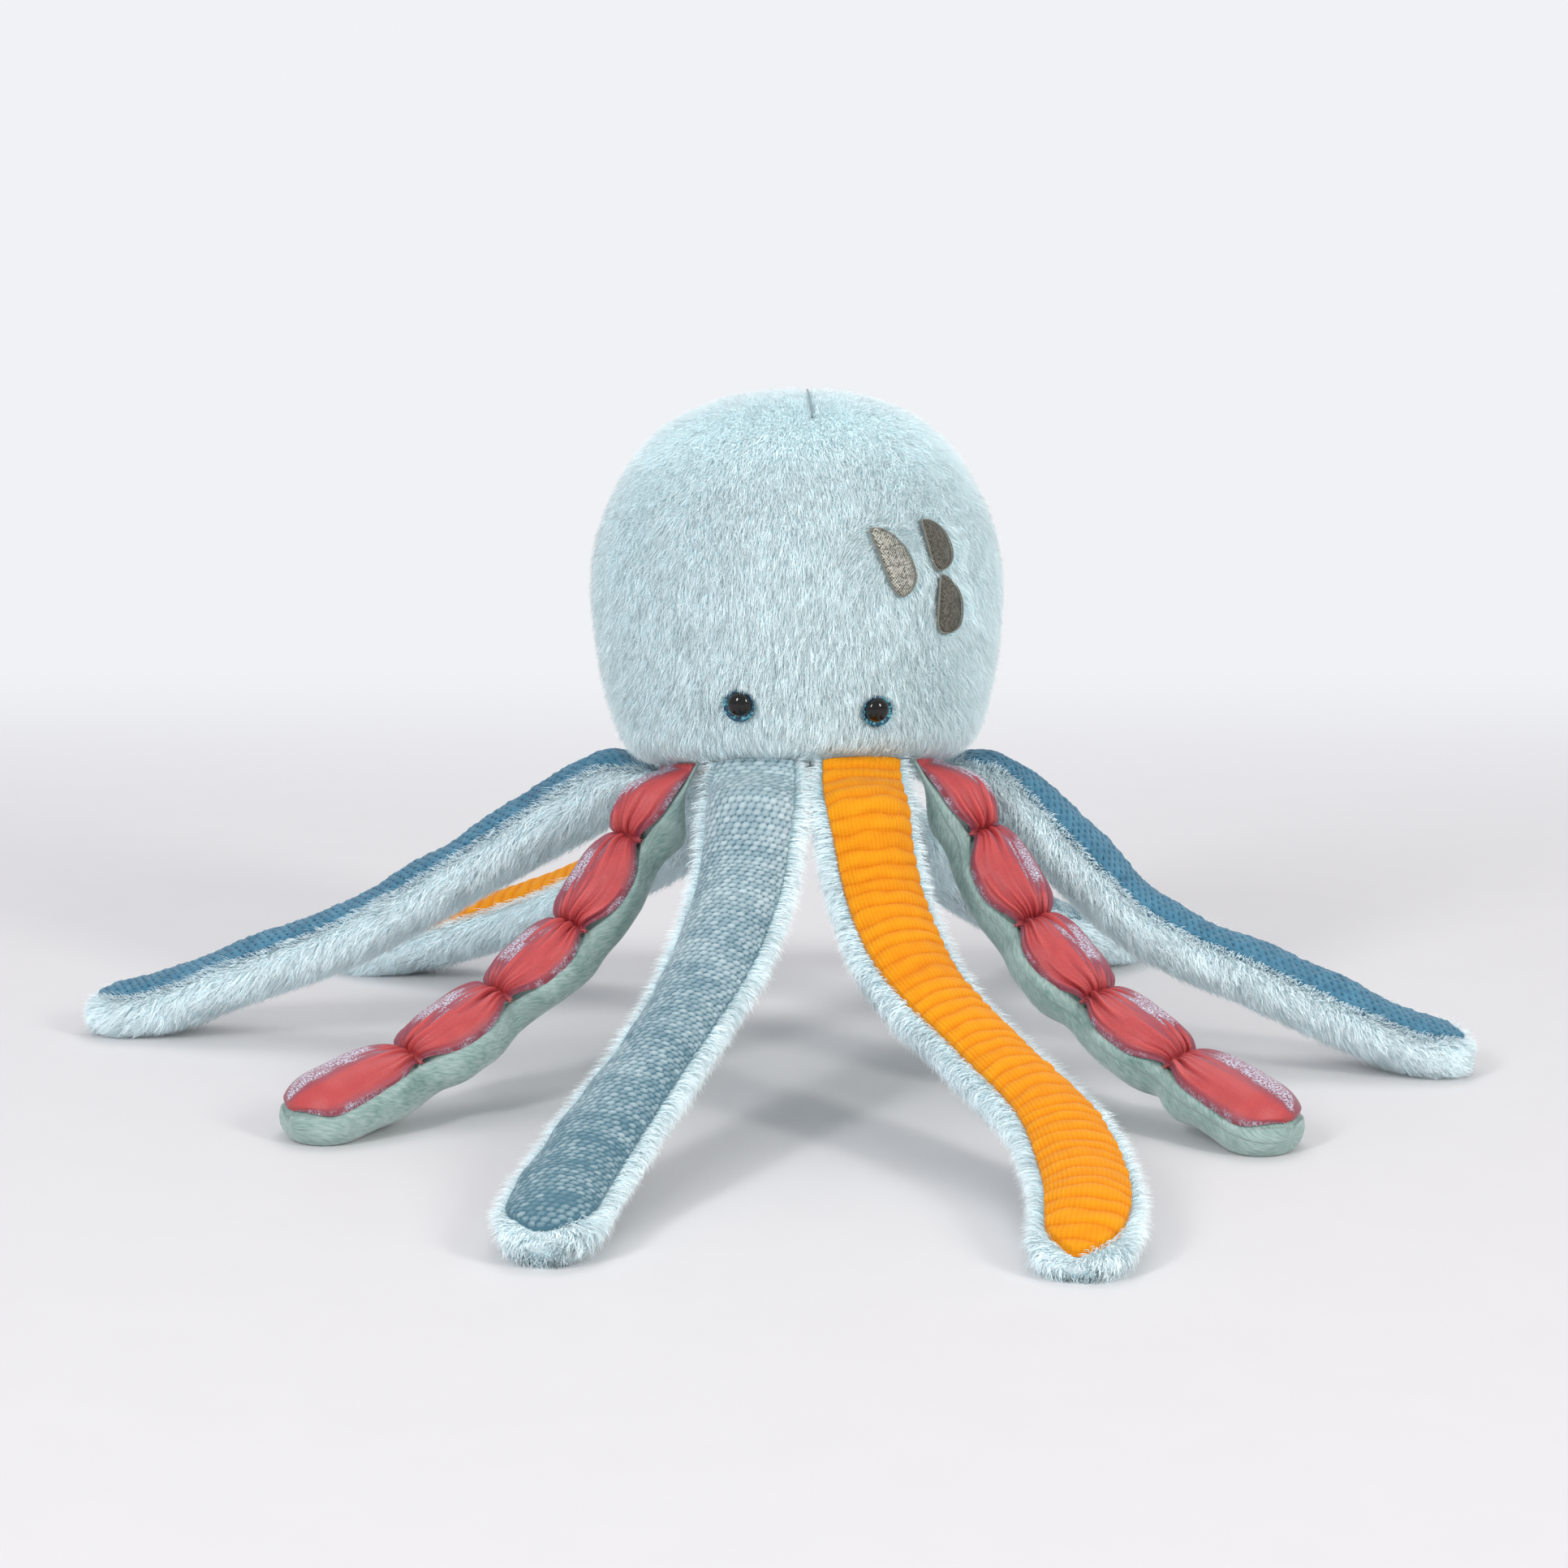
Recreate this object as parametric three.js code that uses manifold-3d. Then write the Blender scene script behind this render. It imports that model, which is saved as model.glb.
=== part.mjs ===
// A stuffed octopus: a round plush head on eight stuffed tentacles, standing on a floor.
// Millimetres, +Z up, the face towards -Y, the origin on the floor under the middle of the toy.
import * as THREE from 'three';
import { mergeVertices } from 'three/addons/utils/BufferGeometryUtils.js';
import Module from 'manifold-3d';

const wasm = await Module();
wasm.setup();

// Head
const headRadius = 99;
const headHeight = 184;
const headDepthShare = 0.96;
const seamHeight = 153;
const headTiltDegrees = -11;
const headYawDegrees = 3;
const headLeanDegrees = -0.8;
const coverWall = 4;
const lipWidth = 13;
const baseWall = 3;
const fabricGap = 0.3;
const headOutlineShares = [
  [0.71, 0], [0.81, 0.03], [0.875, 0.085], [0.93, 0.18], [0.97, 0.28], [0.996, 0.39], [1, 0.48],
  [0.98, 0.59], [0.925, 0.7], [0.825, 0.81], [0.66, 0.905], [0.44, 0.966], [0.22, 0.993], [0, 1],
];
const headSides = 24;
const headOutlineSteps = 11;
const halvings = 40;

// Eyes
const eyeRadius = 6;
const eyeHeight = 4.6;
const shankRadius = 2;
const shankLength = 11;
const shankClearance = 0.35;
const discRadius = 7.6;
const discThickness = 1;
const washerRadius = 8;
const washerThickness = 1.6;
const eyes = [
  { name: 'left', degrees: -21, heightShare: 0.132 },
  { name: 'right', degrees: 21, heightShare: 0.111 },
];
const eyeSides = 16;
const eyeSteps = 5;

// Spots: each is a padded half leaf, sized by the head's height and turned by some degrees
const spotThickness = 1.2;
const spots = [
  { name: 'spot_large', degrees: 24.5, heightShare: 0.49, lengthShare: 0.185, widthShare: 0.092, turn: 20 },
  { name: 'spot_upper', degrees: 39.5, heightShare: 0.53, lengthShare: 0.141, widthShare: 0.092, turn: 12 },
  { name: 'spot_lower', degrees: 43.5, heightShare: 0.38, lengthShare: 0.152, widthShare: 0.108, turn: -2 },
];
const spotRowShares = [
  [0.5, -0.26, -0.12], [0.4, -0.38, 0.16], [0.2, -0.42, 0.42], [0, -0.4, 0.52],
  [-0.2, -0.36, 0.48], [-0.4, -0.24, 0.32], [-0.5, -0.06, 0.12],
];
const spotColumns = 3;

// Tentacles
const hingeRadiusShare = 2 / 3;
const hingeRadius = hingeRadiusShare * headRadius;
const rootRadius = 4.5;
const rootGap = 0.2;
const tentacleHalfWidth = 23.5;
const tentacleHalfThickness = 17.5;
const neckLength = 7;
const swellLength = 26;
const tentacleReach = 330;
const faceWall = 2;
const backWall = 3;
const tipLength = 22;
const floorCut = 0.5;
const seamGap = 0.3;
const fillingStart = 16;
const fillingTipGap = 11;
const tipEndShare = 0.3;
const tipRingShares = [1, 0.5, 0.2, 0];
const wallShareOfThickness = 0.7;
const levelShare = 0.3;
const plainThicknessShares = [[0, 1], [0.2, 1], [0.45, 0.88], [1, 0.86]];
const coralThicknessShares = [[0, 1], [0.8, 0.97], [1, 0.97]];
const plainWidthShares = [[0, 0.93], [0.12, 1], [0.3, 0.98], [0.55, 0.87], [0.8, 0.95], [1, 0.93]];
const coralWidthShares = [[0, 0.9], [0.15, 0.93], [0.6, 0.93], [0.85, 0.98], [1, 1.04]];
const plainRingShares = [0.04, 0.1, 0.17, 0.26, 0.35, 0.44, 0.53, 0.62, 0.71, 0.8, 0.89];
const pinchShares = [0.17, 0.365, 0.555, 0.76];
const pinchReachShare = 0.035;
const pinchWidthShare = 0.2;
const pinchCrownShare = 0.52;
const pinchRings = 4;
const threadWidth = 0.7;
const threadThickness = 0.8;
const faceSeamDegrees = 28;
const coralSeamDegrees = 12;
const faceSteps = 3;
const backSteps = 6;
const coralFaceSteps = 4;

const cloth = { roughness: 0.95, metalness: 0 };
const looks = {
  plush: { color: 0xb4d3dc, ...cloth },
  velvet: { color: 0x8fa9a6, ...cloth },
  knit: { color: 0x7f9fae, ...cloth },
  orange: { color: 0xf59a14, ...cloth },
  satin: { color: 0xd3555c, roughness: 0.45, metalness: 0.1 },
  waffle: { color: 0x3f7a9f, ...cloth },
  filling: { color: 0xf1f0ec, ...cloth },
  thread: { color: 0xb0454d, roughness: 0.6, metalness: 0 },
  lurex: { color: 0x8c8a84, roughness: 0.45, metalness: 0.4 },
  black: { color: 0x0b0b0d, roughness: 0.08, metalness: 0 },
  glitter: { color: 0x1d6f96, roughness: 0.35, metalness: 0.5 },
  washer: { color: 0xe9e9e6, roughness: 0.5, metalness: 0 },
};

// Each tentacle's azimuth is from the face towards +X, at its root.
// A row of its route: shares of the reach outwards and to the side, and share of the root's height.
const tentacles = [
  {
    name: 'front_left', degrees: -22.5, face: 'knit',
    routeShares: [
      [0.266, 0.021, 0.909], [0.336, 0.032, 0.677], [0.444, 0.035, 0.489], [0.6, 0.029, 0.308],
      [0.786, 0.021, 0.151], [0.932, 0.018, 0.035], [1.107, 0.042, -0.017],
    ],
  },
  {
    name: 'front_right', degrees: 22.5, face: 'orange',
    routeShares: [
      [0.262, -0.028, 0.895], [0.342, -0.042, 0.627], [0.467, -0.048, 0.409], [0.643, -0.025, 0.228],
      [0.812, -0.021, 0.116], [0.946, -0.058, 0.04], [1.05, -0.108, 0.003], [1.146, -0.181, 0],
    ],
  },
  {
    name: 'coral_left', degrees: -67.5, face: 'satin',
    routeShares: [
      [0.271, 0.005, 0.735], [0.376, 0.029, 0.445], [0.518, 0.058, 0.222], [0.691, 0.097, 0.046],
      [0.852, 0.124, -0.027],
    ],
  },
  {
    name: 'coral_right', degrees: 67.5, face: 'satin',
    routeShares: [
      [0.282, -0.016, 0.735], [0.378, -0.069, 0.46], [0.5, -0.132, 0.226], [0.667, -0.214, 0.049],
      [0.814, -0.284, -0.03],
    ],
  },
  {
    name: 'blue_left', degrees: -112.5, face: 'waffle',
    routeShares: [
      [0.286, 0.008, 0.88], [0.363, 0.028, 0.776], [0.486, 0.058, 0.595], [0.61, 0.088, 0.409],
      [0.709, 0.112, 0.279], [0.872, 0.151, 0.124], [0.991, 0.18, 0.013], [1.103, 0.207, -0.005],
    ],
  },
  {
    name: 'blue_right', degrees: 112.5, face: 'waffle',
    routeShares: [
      [0.268, -0.03, 0.895], [0.335, -0.093, 0.772], [0.387, -0.138, 0.634], [0.471, -0.208, 0.402],
      [0.528, -0.252, 0.311], [0.602, -0.314, 0.228], [0.68, -0.376, 0.128], [0.785, -0.46, 0.011],
      [0.861, -0.518, -0.013],
    ],
  },
  {
    name: 'back_left', degrees: -157.5, face: 'orange',
    routeShares: [
      [0.282, 0, 0.735], [0.417, 0.043, 0.503], [0.559, 0.13, 0.286], [0.698, 0.238, 0.122],
      [0.806, 0.338, 0.015], [0.891, 0.431, -0.009],
    ],
  },
  {
    name: 'back_right', degrees: 157.5, face: 'knit',
    routeShares: [
      [0.286, -0.008, 0.721], [0.421, -0.063, 0.474], [0.562, -0.135, 0.242], [0.684, -0.208, 0.081],
      [0.781, -0.263, 0.007], [0.87, -0.296, -0.004],
    ],
  },
];

const radians = THREE.MathUtils.degToRad;
const smooth = (x) => THREE.MathUtils.smoothstep(x, 0, 1);
const toy = new THREE.Group();
const headTurn = new THREE.Euler(
  radians(headTiltDegrees), radians(headLeanDegrees), radians(headYawDegrees), 'ZYX',
);
const head = new THREE.Group();
head.position.set(0, 0, seamHeight);
head.setRotationFromEuler(headTurn);
toy.add(head);

function addPiece(parent, name, geometry, look) {
  const mesh = new THREE.Mesh(geometry, new THREE.MeshStandardMaterial(look));
  mesh.name = name;
  parent.add(mesh);
  return mesh;
}

function solidOf(geometry) {
  const bare = geometry.clone();
  bare.deleteAttribute('normal');
  bare.deleteAttribute('uv');
  const merged = mergeVertices(bare);
  const vertProperties = new Float32Array(merged.attributes.position.array);
  const triVerts = new Uint32Array(merged.index.array);
  return new wasm.Manifold(new wasm.Mesh({ numProp: 3, vertProperties, triVerts }));
}

function geometryOf(solid) {
  const mesh = solid.getMesh();
  const geometry = new THREE.BufferGeometry();
  geometry.setAttribute('position', new THREE.BufferAttribute(mesh.vertProperties, 3));
  geometry.setIndex(new THREE.BufferAttribute(mesh.triVerts, 1));
  geometry.computeVertexNormals();
  return geometry;
}

function geometryFrom(points, faces) {
  const geometry = new THREE.BufferGeometry();
  geometry.setFromPoints(points);
  geometry.setIndex(faces);
  geometry.computeVertexNormals();
  return geometry;
}

// A closed body between two grids of points of the same size
function sheetBetween(outer, inner) {
  const rows = outer.length;
  const columns = outer[0].length;
  const points = [...outer.flat(), ...inner.flat()];
  const faces = [];
  const at = (layer, row, column) => layer * rows * columns + row * columns + column;
  const quad = (a, b, c, d) => faces.push(a, c, b, a, d, c);
  for (let i = 0; i + 1 < rows; i += 1) {
    for (let j = 0; j + 1 < columns; j += 1) {
      quad(at(0, i, j), at(0, i, j + 1), at(0, i + 1, j + 1), at(0, i + 1, j));
      quad(at(1, i, j), at(1, i + 1, j), at(1, i + 1, j + 1), at(1, i, j + 1));
    }
    quad(at(0, i, 0), at(0, i + 1, 0), at(1, i + 1, 0), at(1, i, 0));
    quad(at(0, i + 1, columns - 1), at(0, i, columns - 1), at(1, i, columns - 1), at(1, i + 1, columns - 1));
  }
  for (let j = 0; j + 1 < columns; j += 1) {
    quad(at(0, 0, j + 1), at(0, 0, j), at(1, 0, j), at(1, 0, j + 1));
    quad(at(0, rows - 1, j), at(0, rows - 1, j + 1), at(1, rows - 1, j + 1), at(1, rows - 1, j));
  }
  return geometryFrom(points, faces);
}

// A closed body through rings of points, with a fan at each end
function bodyThrough(rings) {
  const count = rings[0].length;
  const points = rings.flat();
  const faces = [];
  const middle = (ring) => ring.reduce((sum, p) => sum.add(p), new THREE.Vector3()).divideScalar(count);
  for (let i = 0; i + 1 < rings.length; i += 1) {
    for (let j = 0; j < count; j += 1) {
      const a = i * count + j;
      const b = i * count + ((j + 1) % count);
      faces.push(a, b + count, b, a, a + count, b + count);
    }
  }
  const first = points.push(middle(rings[0])) - 1;
  const last = points.push(middle(rings[rings.length - 1])) - 1;
  const end = (rings.length - 1) * count;
  for (let j = 0; j < count; j += 1) {
    const next = (j + 1) % count;
    faces.push(first, j, next);
    faces.push(last, end + next, end + j);
  }
  return geometryFrom(points, faces);
}

// The head's outline, turned about its own axis
const headOutline = new THREE.SplineCurve(
  headOutlineShares.map(([radius, height]) => new THREE.Vector2(radius * headRadius, height * headHeight)),
);

function outlinePoints(steps, inset) {
  const points = [];
  for (let i = 0; i <= steps; i += 1) {
    const along = i / steps;
    const tangent = headOutline.getTangent(along);
    const point = headOutline.getPoint(along);
    point.x -= tangent.y * inset;
    point.y += tangent.x * inset;
    points.push(point);
  }
  points[steps].x = 0;
  return points;
}

function turned(outline, sides) {
  const geometry = new THREE.LatheGeometry(outline, sides);
  geometry.rotateX(Math.PI / 2);
  return geometry;
}

function turnedHead(outline, sides) {
  const geometry = turned(outline, sides);
  geometry.scale(1, headDepthShare, 1);
  return geometry;
}

// The place and outward direction on the head at an angle from the face and a height
function onHead(degrees, heightShare) {
  const target = heightShare * headHeight;
  let low = 0;
  let high = 1;
  for (let i = 0; i < halvings; i += 1) {
    const middle = (low + high) / 2;
    if (headOutline.getPoint(middle).y < target) low = middle;
    else high = middle;
  }
  const at = headOutline.getPoint(low);
  const tangent = headOutline.getTangent(low);
  const angle = radians(degrees);
  const place = new THREE.Vector3(Math.sin(angle) * at.x, -Math.cos(angle) * at.x * headDepthShare, at.y);
  const outward = new THREE.Vector3(
    Math.sin(angle) * tangent.y, (-Math.cos(angle) * tangent.y) / headDepthShare, -tangent.x,
  ).normalize();
  return { place, outward };
}

function makeHead() {
  const outside = outlinePoints(headOutlineSteps, 0);
  const aboveRim = (point) => point.y > 2 * coverWall;
  const inside = outlinePoints(headOutlineSteps, coverWall).filter(aboveRim);
  const lipRadius = outside[0].x - lipWidth;
  const cover = turnedHead([
    new THREE.Vector2(lipRadius, coverWall), new THREE.Vector2(lipRadius, 0),
    ...outside, ...inside.reverse(), new THREE.Vector2(lipRadius, coverWall),
  ], headSides);
  let whole = solidOf(cover);
  const seatDepth = coverWall + shankLength / 2;
  for (const eye of eyes) {
    whole = whole.subtract(alongEye(eye, shankRadius + shankClearance, shankLength, 0));
    whole = whole.subtract(alongEye(eye, washerRadius + fabricGap, shankLength, -seatDepth));
  }
  const room = 2 * headHeight;
  const half = new THREE.BoxGeometry(room, room, room);
  const inFront = half.clone().translate(0, -(room + fabricGap) / 2, headHeight / 2);
  const behind = half.clone().translate(0, (room + fabricGap) / 2, headHeight / 2);
  addPiece(head, 'head_front_panel', geometryOf(whole.intersect(solidOf(inFront))), looks.plush);
  addPiece(head, 'head_back_panel', geometryOf(whole.intersect(solidOf(behind))), looks.plush);

  const panelRadius = lipRadius - fabricGap;
  const base = turnedHead([
    new THREE.Vector2(0, 0), new THREE.Vector2(panelRadius, 0),
    new THREE.Vector2(panelRadius, baseWall), new THREE.Vector2(0, baseWall),
  ], headSides);
  addPiece(head, 'head_base_panel', base, looks.plush);

  const inset = coverWall + fabricGap;
  const fillingOutline = outlinePoints(headOutlineSteps, inset).filter(aboveRim);
  const filling = turnedHead([
    new THREE.Vector2(0, inset), new THREE.Vector2(lipRadius - inset, inset), ...fillingOutline,
  ], headSides);
  let stuffing = solidOf(filling);
  for (const eye of eyes) {
    stuffing = stuffing.subtract(alongEye(eye, washerRadius + fabricGap, shankLength * 2, 0));
  }
  addPiece(head, 'head_filling', geometryOf(stuffing), looks.filling);
}

// A cylinder along an eye's shank, with its middle at an offset from the head's surface
function alongEye(eye, radius, length, offset) {
  const cylinder = new THREE.CylinderGeometry(radius, radius, length, eyeSides);
  cylinder.rotateX(Math.PI / 2);
  cylinder.translate(0, 0, offset);
  cylinder.applyMatrix4(eyeMatrix(eye));
  return solidOf(cylinder);
}

function eyeMatrix(eye) {
  const { place, outward } = onHead(eye.degrees, eye.heightShare);
  const turn = new THREE.Quaternion().setFromUnitVectors(new THREE.Vector3(0, 0, 1), outward);
  return new THREE.Matrix4().compose(place, turn, new THREE.Vector3(1, 1, 1));
}

function makeEye(eye) {
  const matrix = eyeMatrix(eye);
  const place = (name, geometry, look) => addPiece(head, name, geometry, look).applyMatrix4(matrix);
  const discTop = fabricGap + discThickness;
  const domeBase = discTop + fabricGap;
  const outline = [
    new THREE.Vector2(0, domeBase - shankLength), new THREE.Vector2(shankRadius, domeBase - shankLength),
    new THREE.Vector2(shankRadius, domeBase),
  ];
  for (let i = 0; i <= eyeSteps; i += 1) {
    const angle = (Math.PI / 2) * (i / eyeSteps);
    outline.push(new THREE.Vector2(eyeRadius * Math.cos(angle), domeBase + eyeHeight * Math.sin(angle)));
  }
  outline[outline.length - 1].x = 0;
  place(`eye_${eye.name}`, turned(outline, eyeSides), looks.black);
  const hole = shankRadius + shankClearance;
  place(`eye_disc_${eye.name}`, ring(hole, discRadius, fabricGap, discTop), looks.glitter);
  const washerTop = -coverWall - fabricGap;
  const washer = ring(hole, washerRadius, washerTop - washerThickness, washerTop);
  place(`eye_washer_${eye.name}`, washer, looks.washer);
}

function ring(innerRadius, outerRadius, bottom, top) {
  return turned([
    new THREE.Vector2(innerRadius, bottom), new THREE.Vector2(outerRadius, bottom),
    new THREE.Vector2(outerRadius, top), new THREE.Vector2(innerRadius, top),
    new THREE.Vector2(innerRadius, bottom),
  ], eyeSides);
}

// A spot follows the head's surface, so each of its points is placed on the head by itself
function makeSpot(spot) {
  const turn = radians(spot.turn);
  const centre = onHead(spot.degrees, spot.heightShare);
  const girth = Math.hypot(centre.place.x, centre.place.y);
  const length = spot.lengthShare * headHeight;
  const width = spot.widthShare * headHeight;
  const layer = (lift) => spotRowShares.map(([up, left, right]) => {
    const row = [];
    for (let j = 0; j <= spotColumns; j += 1) {
      const along = up * length;
      const across = THREE.MathUtils.lerp(left, right, j / spotColumns) * width;
      const sideways = across * Math.cos(turn) - along * Math.sin(turn);
      const upwards = across * Math.sin(turn) + along * Math.cos(turn);
      const degrees = spot.degrees + THREE.MathUtils.radToDeg(sideways / girth);
      const { place, outward } = onHead(degrees, spot.heightShare + upwards / headHeight);
      row.push(place.addScaledVector(outward, lift));
    }
    return row;
  });
  const geometry = sheetBetween(layer(fabricGap + spotThickness), layer(fabricGap));
  addPiece(head, spot.name, geometry, looks.lurex);
}

function fromShares(rows, at) {
  for (let i = 0; i + 1 < rows.length; i += 1) {
    const [start, before] = rows[i];
    const [end, after] = rows[i + 1];
    if (at <= end) return THREE.MathUtils.lerp(before, after, smooth((at - start) / (end - start)));
  }
  return rows[rows.length - 1][1];
}

function thicknessSharesOf(tentacle) {
  return tentacle.face === 'satin' ? coralThicknessShares : plainThicknessShares;
}

// The route of a tentacle's middle, from just behind its hinge to its tip
function routeOf(tentacle) {
  const azimuth = radians(tentacle.degrees);
  const hinge = new THREE.Vector3(
    hingeRadius * Math.sin(azimuth), -hingeRadius * Math.cos(azimuth), -rootRadius - rootGap,
  );
  const axis = new THREE.Vector3(-Math.cos(azimuth), -Math.sin(azimuth), 0).applyEuler(headTurn);
  hinge.applyEuler(headTurn);
  hinge.z += seamHeight;
  const turnedAzimuth = azimuth + radians(headYawDegrees);
  const outward = new THREE.Vector3(Math.sin(turnedAzimuth), -Math.cos(turnedAzimuth), 0);
  const sideways = new THREE.Vector3(Math.cos(turnedAzimuth), Math.sin(turnedAzimuth), 0);
  const restHeight = tentacleHalfThickness * fromShares(thicknessSharesOf(tentacle), 1) - floorCut;
  const route = tentacle.routeShares.map(([out, aside, up]) => {
    const point = outward.clone().multiplyScalar(out * tentacleReach);
    point.addScaledVector(sideways, aside * tentacleReach);
    point.z = restHeight + up * (seamHeight - rootGap - restHeight);
    return point;
  });
  const start = hinge.clone().sub(route[0]).setLength(rootRadius).add(hinge);
  return { curve: new THREE.CatmullRomCurve3([start, hinge, ...route], false, 'centripetal'), hinge, axis };
}

// The half width, the height of the face and the depth of the back at a share of the length
function sizeAt(tentacle, share, length) {
  const coral = tentacle.face === 'satin';
  const rootShare = rootRadius / length;
  const tipShare = tipLength / length;
  const fromHinge = share * length - rootRadius;
  const past = Math.max(share - (1 - tipShare), 0) / tipShare;
  const roundTip = Math.sqrt(1 - past * past * (1 - tipEndShare * tipEndShare));
  const before = Math.max(rootShare - share, 0) / rootShare;
  const roundRoot = Math.sqrt(1 - before * before * (1 - tipEndShare * tipEndShare));
  const pinch = coral ? pinchAt(share) : 0;
  const widthShares = coral ? coralWidthShares : plainWidthShares;
  const width = tentacleHalfWidth * fromShares(widthShares, share) * roundTip * (1 - pinchWidthShare * pinch);
  const full = tentacleHalfThickness * fromShares(thicknessSharesOf(tentacle), share);
  const swell = smooth((fromHinge - neckLength) / swellLength);
  const depth = THREE.MathUtils.lerp(rootRadius, full, swell) * roundTip * roundRoot;
  return { width, crown: depth * (1 - pinchCrownShare * pinch), depth };
}

function pinchAt(share) {
  const nearest = Math.min(...pinchShares.map((pinch) => Math.abs(pinch - share)));
  return Math.exp(-((nearest / pinchReachShare) ** 2));
}

function ringShares(tentacle, length) {
  const rootShare = rootRadius / length;
  const tipShare = tipLength / length;
  const ends = tipRingShares.map((left) => 1 - left * tipShare);
  if (tentacle.face !== 'satin') return [0, rootShare, ...plainRingShares, ...ends];
  const stops = [rootShare, ...pinchShares, 1 - tipShare];
  const shares = [0];
  for (let i = 0; i + 1 < stops.length; i += 1) {
    for (let k = 0; k < pinchRings; k += 1) {
      shares.push(THREE.MathUtils.lerp(stops[i], stops[i + 1], k / pinchRings));
    }
  }
  return [...shares, ...ends];
}

// The frame at a share of the route: its side is the hinge's axis at the root and level further out
function frameAt(route, share) {
  const place = route.curve.getPointAt(share);
  const along = route.curve.getTangentAt(share);
  const level = new THREE.Vector3().crossVectors(along, new THREE.Vector3(0, 0, 1)).normalize();
  const side = route.axis.clone().lerp(level, smooth(share / levelShare)).normalize();
  const out = new THREE.Vector3().crossVectors(side, along).normalize();
  return { place, side, out };
}

function sectionPoint(frame, size, angle, inset) {
  const height = Math.sin(angle) > 0 ? size.crown : size.depth;
  const wall = Math.min(inset, wallShareOfThickness * height);
  const width = (size.width - Math.min(inset, wallShareOfThickness * size.width)) * Math.cos(angle);
  const lift = (height - wall) * Math.sin(angle);
  return frame.place.clone().addScaledVector(frame.side, width).addScaledVector(frame.out, lift);
}

function arcGrid(route, tentacle, shares, length, from, to, steps, inset, slit = 0) {
  return shares.map((share) => {
    const frame = frameAt(route, share);
    const size = sizeAt(tentacle, share, length);
    const points = [];
    const apart = slit / size.depth;
    for (let j = 0; j <= steps; j += 1) {
      const angle = THREE.MathUtils.lerp(from + apart, to - apart, j / steps);
      points.push(sectionPoint(frame, size, angle, inset));
    }
    return points;
  });
}

function aboveFloor(geometry) {
  const size = 4 * tentacleReach;
  const ground = new THREE.BoxGeometry(size, size, tentacleReach).translate(0, 0, -tentacleReach / 2);
  return geometryOf(solidOf(geometry).subtract(solidOf(ground)));
}

function makeTentacle(tentacle) {
  const route = routeOf(tentacle);
  const length = route.curve.getLength();
  const shares = ringShares(tentacle, length);
  const coral = tentacle.face === 'satin';
  const seam = radians(coral ? coralSeamDegrees : faceSeamDegrees);
  const steps = coral ? coralFaceSteps : faceSteps;
  const grid = (from, to, count, inset) => (
    arcGrid(route, tentacle, shares, length, from, to, count, inset, seamGap)
  );
  const name = `tentacle_${tentacle.name}`;

  const faceTo = Math.PI - seam;
  const face = sheetBetween(grid(seam, faceTo, steps, 0), grid(seam, faceTo, steps, faceWall));
  addPiece(toy, `${name}_face`, face, looks[tentacle.face]);

  const backTo = 2 * Math.PI + seam;
  const back = sheetBetween(grid(faceTo, backTo, backSteps, 0), grid(faceTo, backTo, backSteps, backWall));
  addPiece(toy, `${name}_back`, aboveFloor(back), coral ? looks.velvet : looks.plush);

  const inset = backWall + seamGap;
  const isInside = (share) => share * length > fillingStart && (1 - share) * length > fillingTipGap;
  const inner = shares.filter(isInside);
  const lower = arcGrid(route, tentacle, inner, length, faceTo, backTo, backSteps, inset);
  const upper = arcGrid(route, tentacle, inner, length, seam, faceTo, steps, inset);
  const rings = lower.map((row, i) => [...row, ...upper[i].slice(1, -1)]);
  addPiece(toy, `${name}_filling`, bodyThrough(rings), looks.filling);
  if (coral) makeThreads(tentacle, route, length);
}

// The gathering thread lies across the face in each pinch
function makeThreads(tentacle, route, length) {
  const seam = radians(coralSeamDegrees);
  pinchShares.forEach((pinch, index) => {
    const half = threadWidth / 2 / length;
    const shares = [pinch - half, pinch + half];
    const grid = (lift) => arcGrid(
      route, tentacle, shares, length, seam, Math.PI - seam, coralFaceSteps * 2, -lift,
    );
    const thread = sheetBetween(grid(fabricGap + threadThickness), grid(fabricGap));
    addPiece(toy, `tentacle_${tentacle.name}_thread_${index + 1}`, thread, looks.thread);
  });
}

makeHead();
eyes.forEach(makeEye);
spots.forEach(makeSpot);
tentacles.forEach(makeTentacle);

// The origin goes to the middle of the toy's box, on the floor
toy.updateMatrixWorld(true);
const box = new THREE.Box3().setFromObject(toy, true);
const middle = box.getCenter(new THREE.Vector3());
toy.position.set(-middle.x, -middle.y, 0);

export default toy;
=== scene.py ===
"""A stuffed octopus: a round fur head on eight two-sided limbs, standing on a pale floor.

Lengths are in millimetres until a mesh is made, and the toy faces towards -Y.
"""

import itertools
import math

import bpy
import numpy as np
from mathutils import Matrix, Vector


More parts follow.
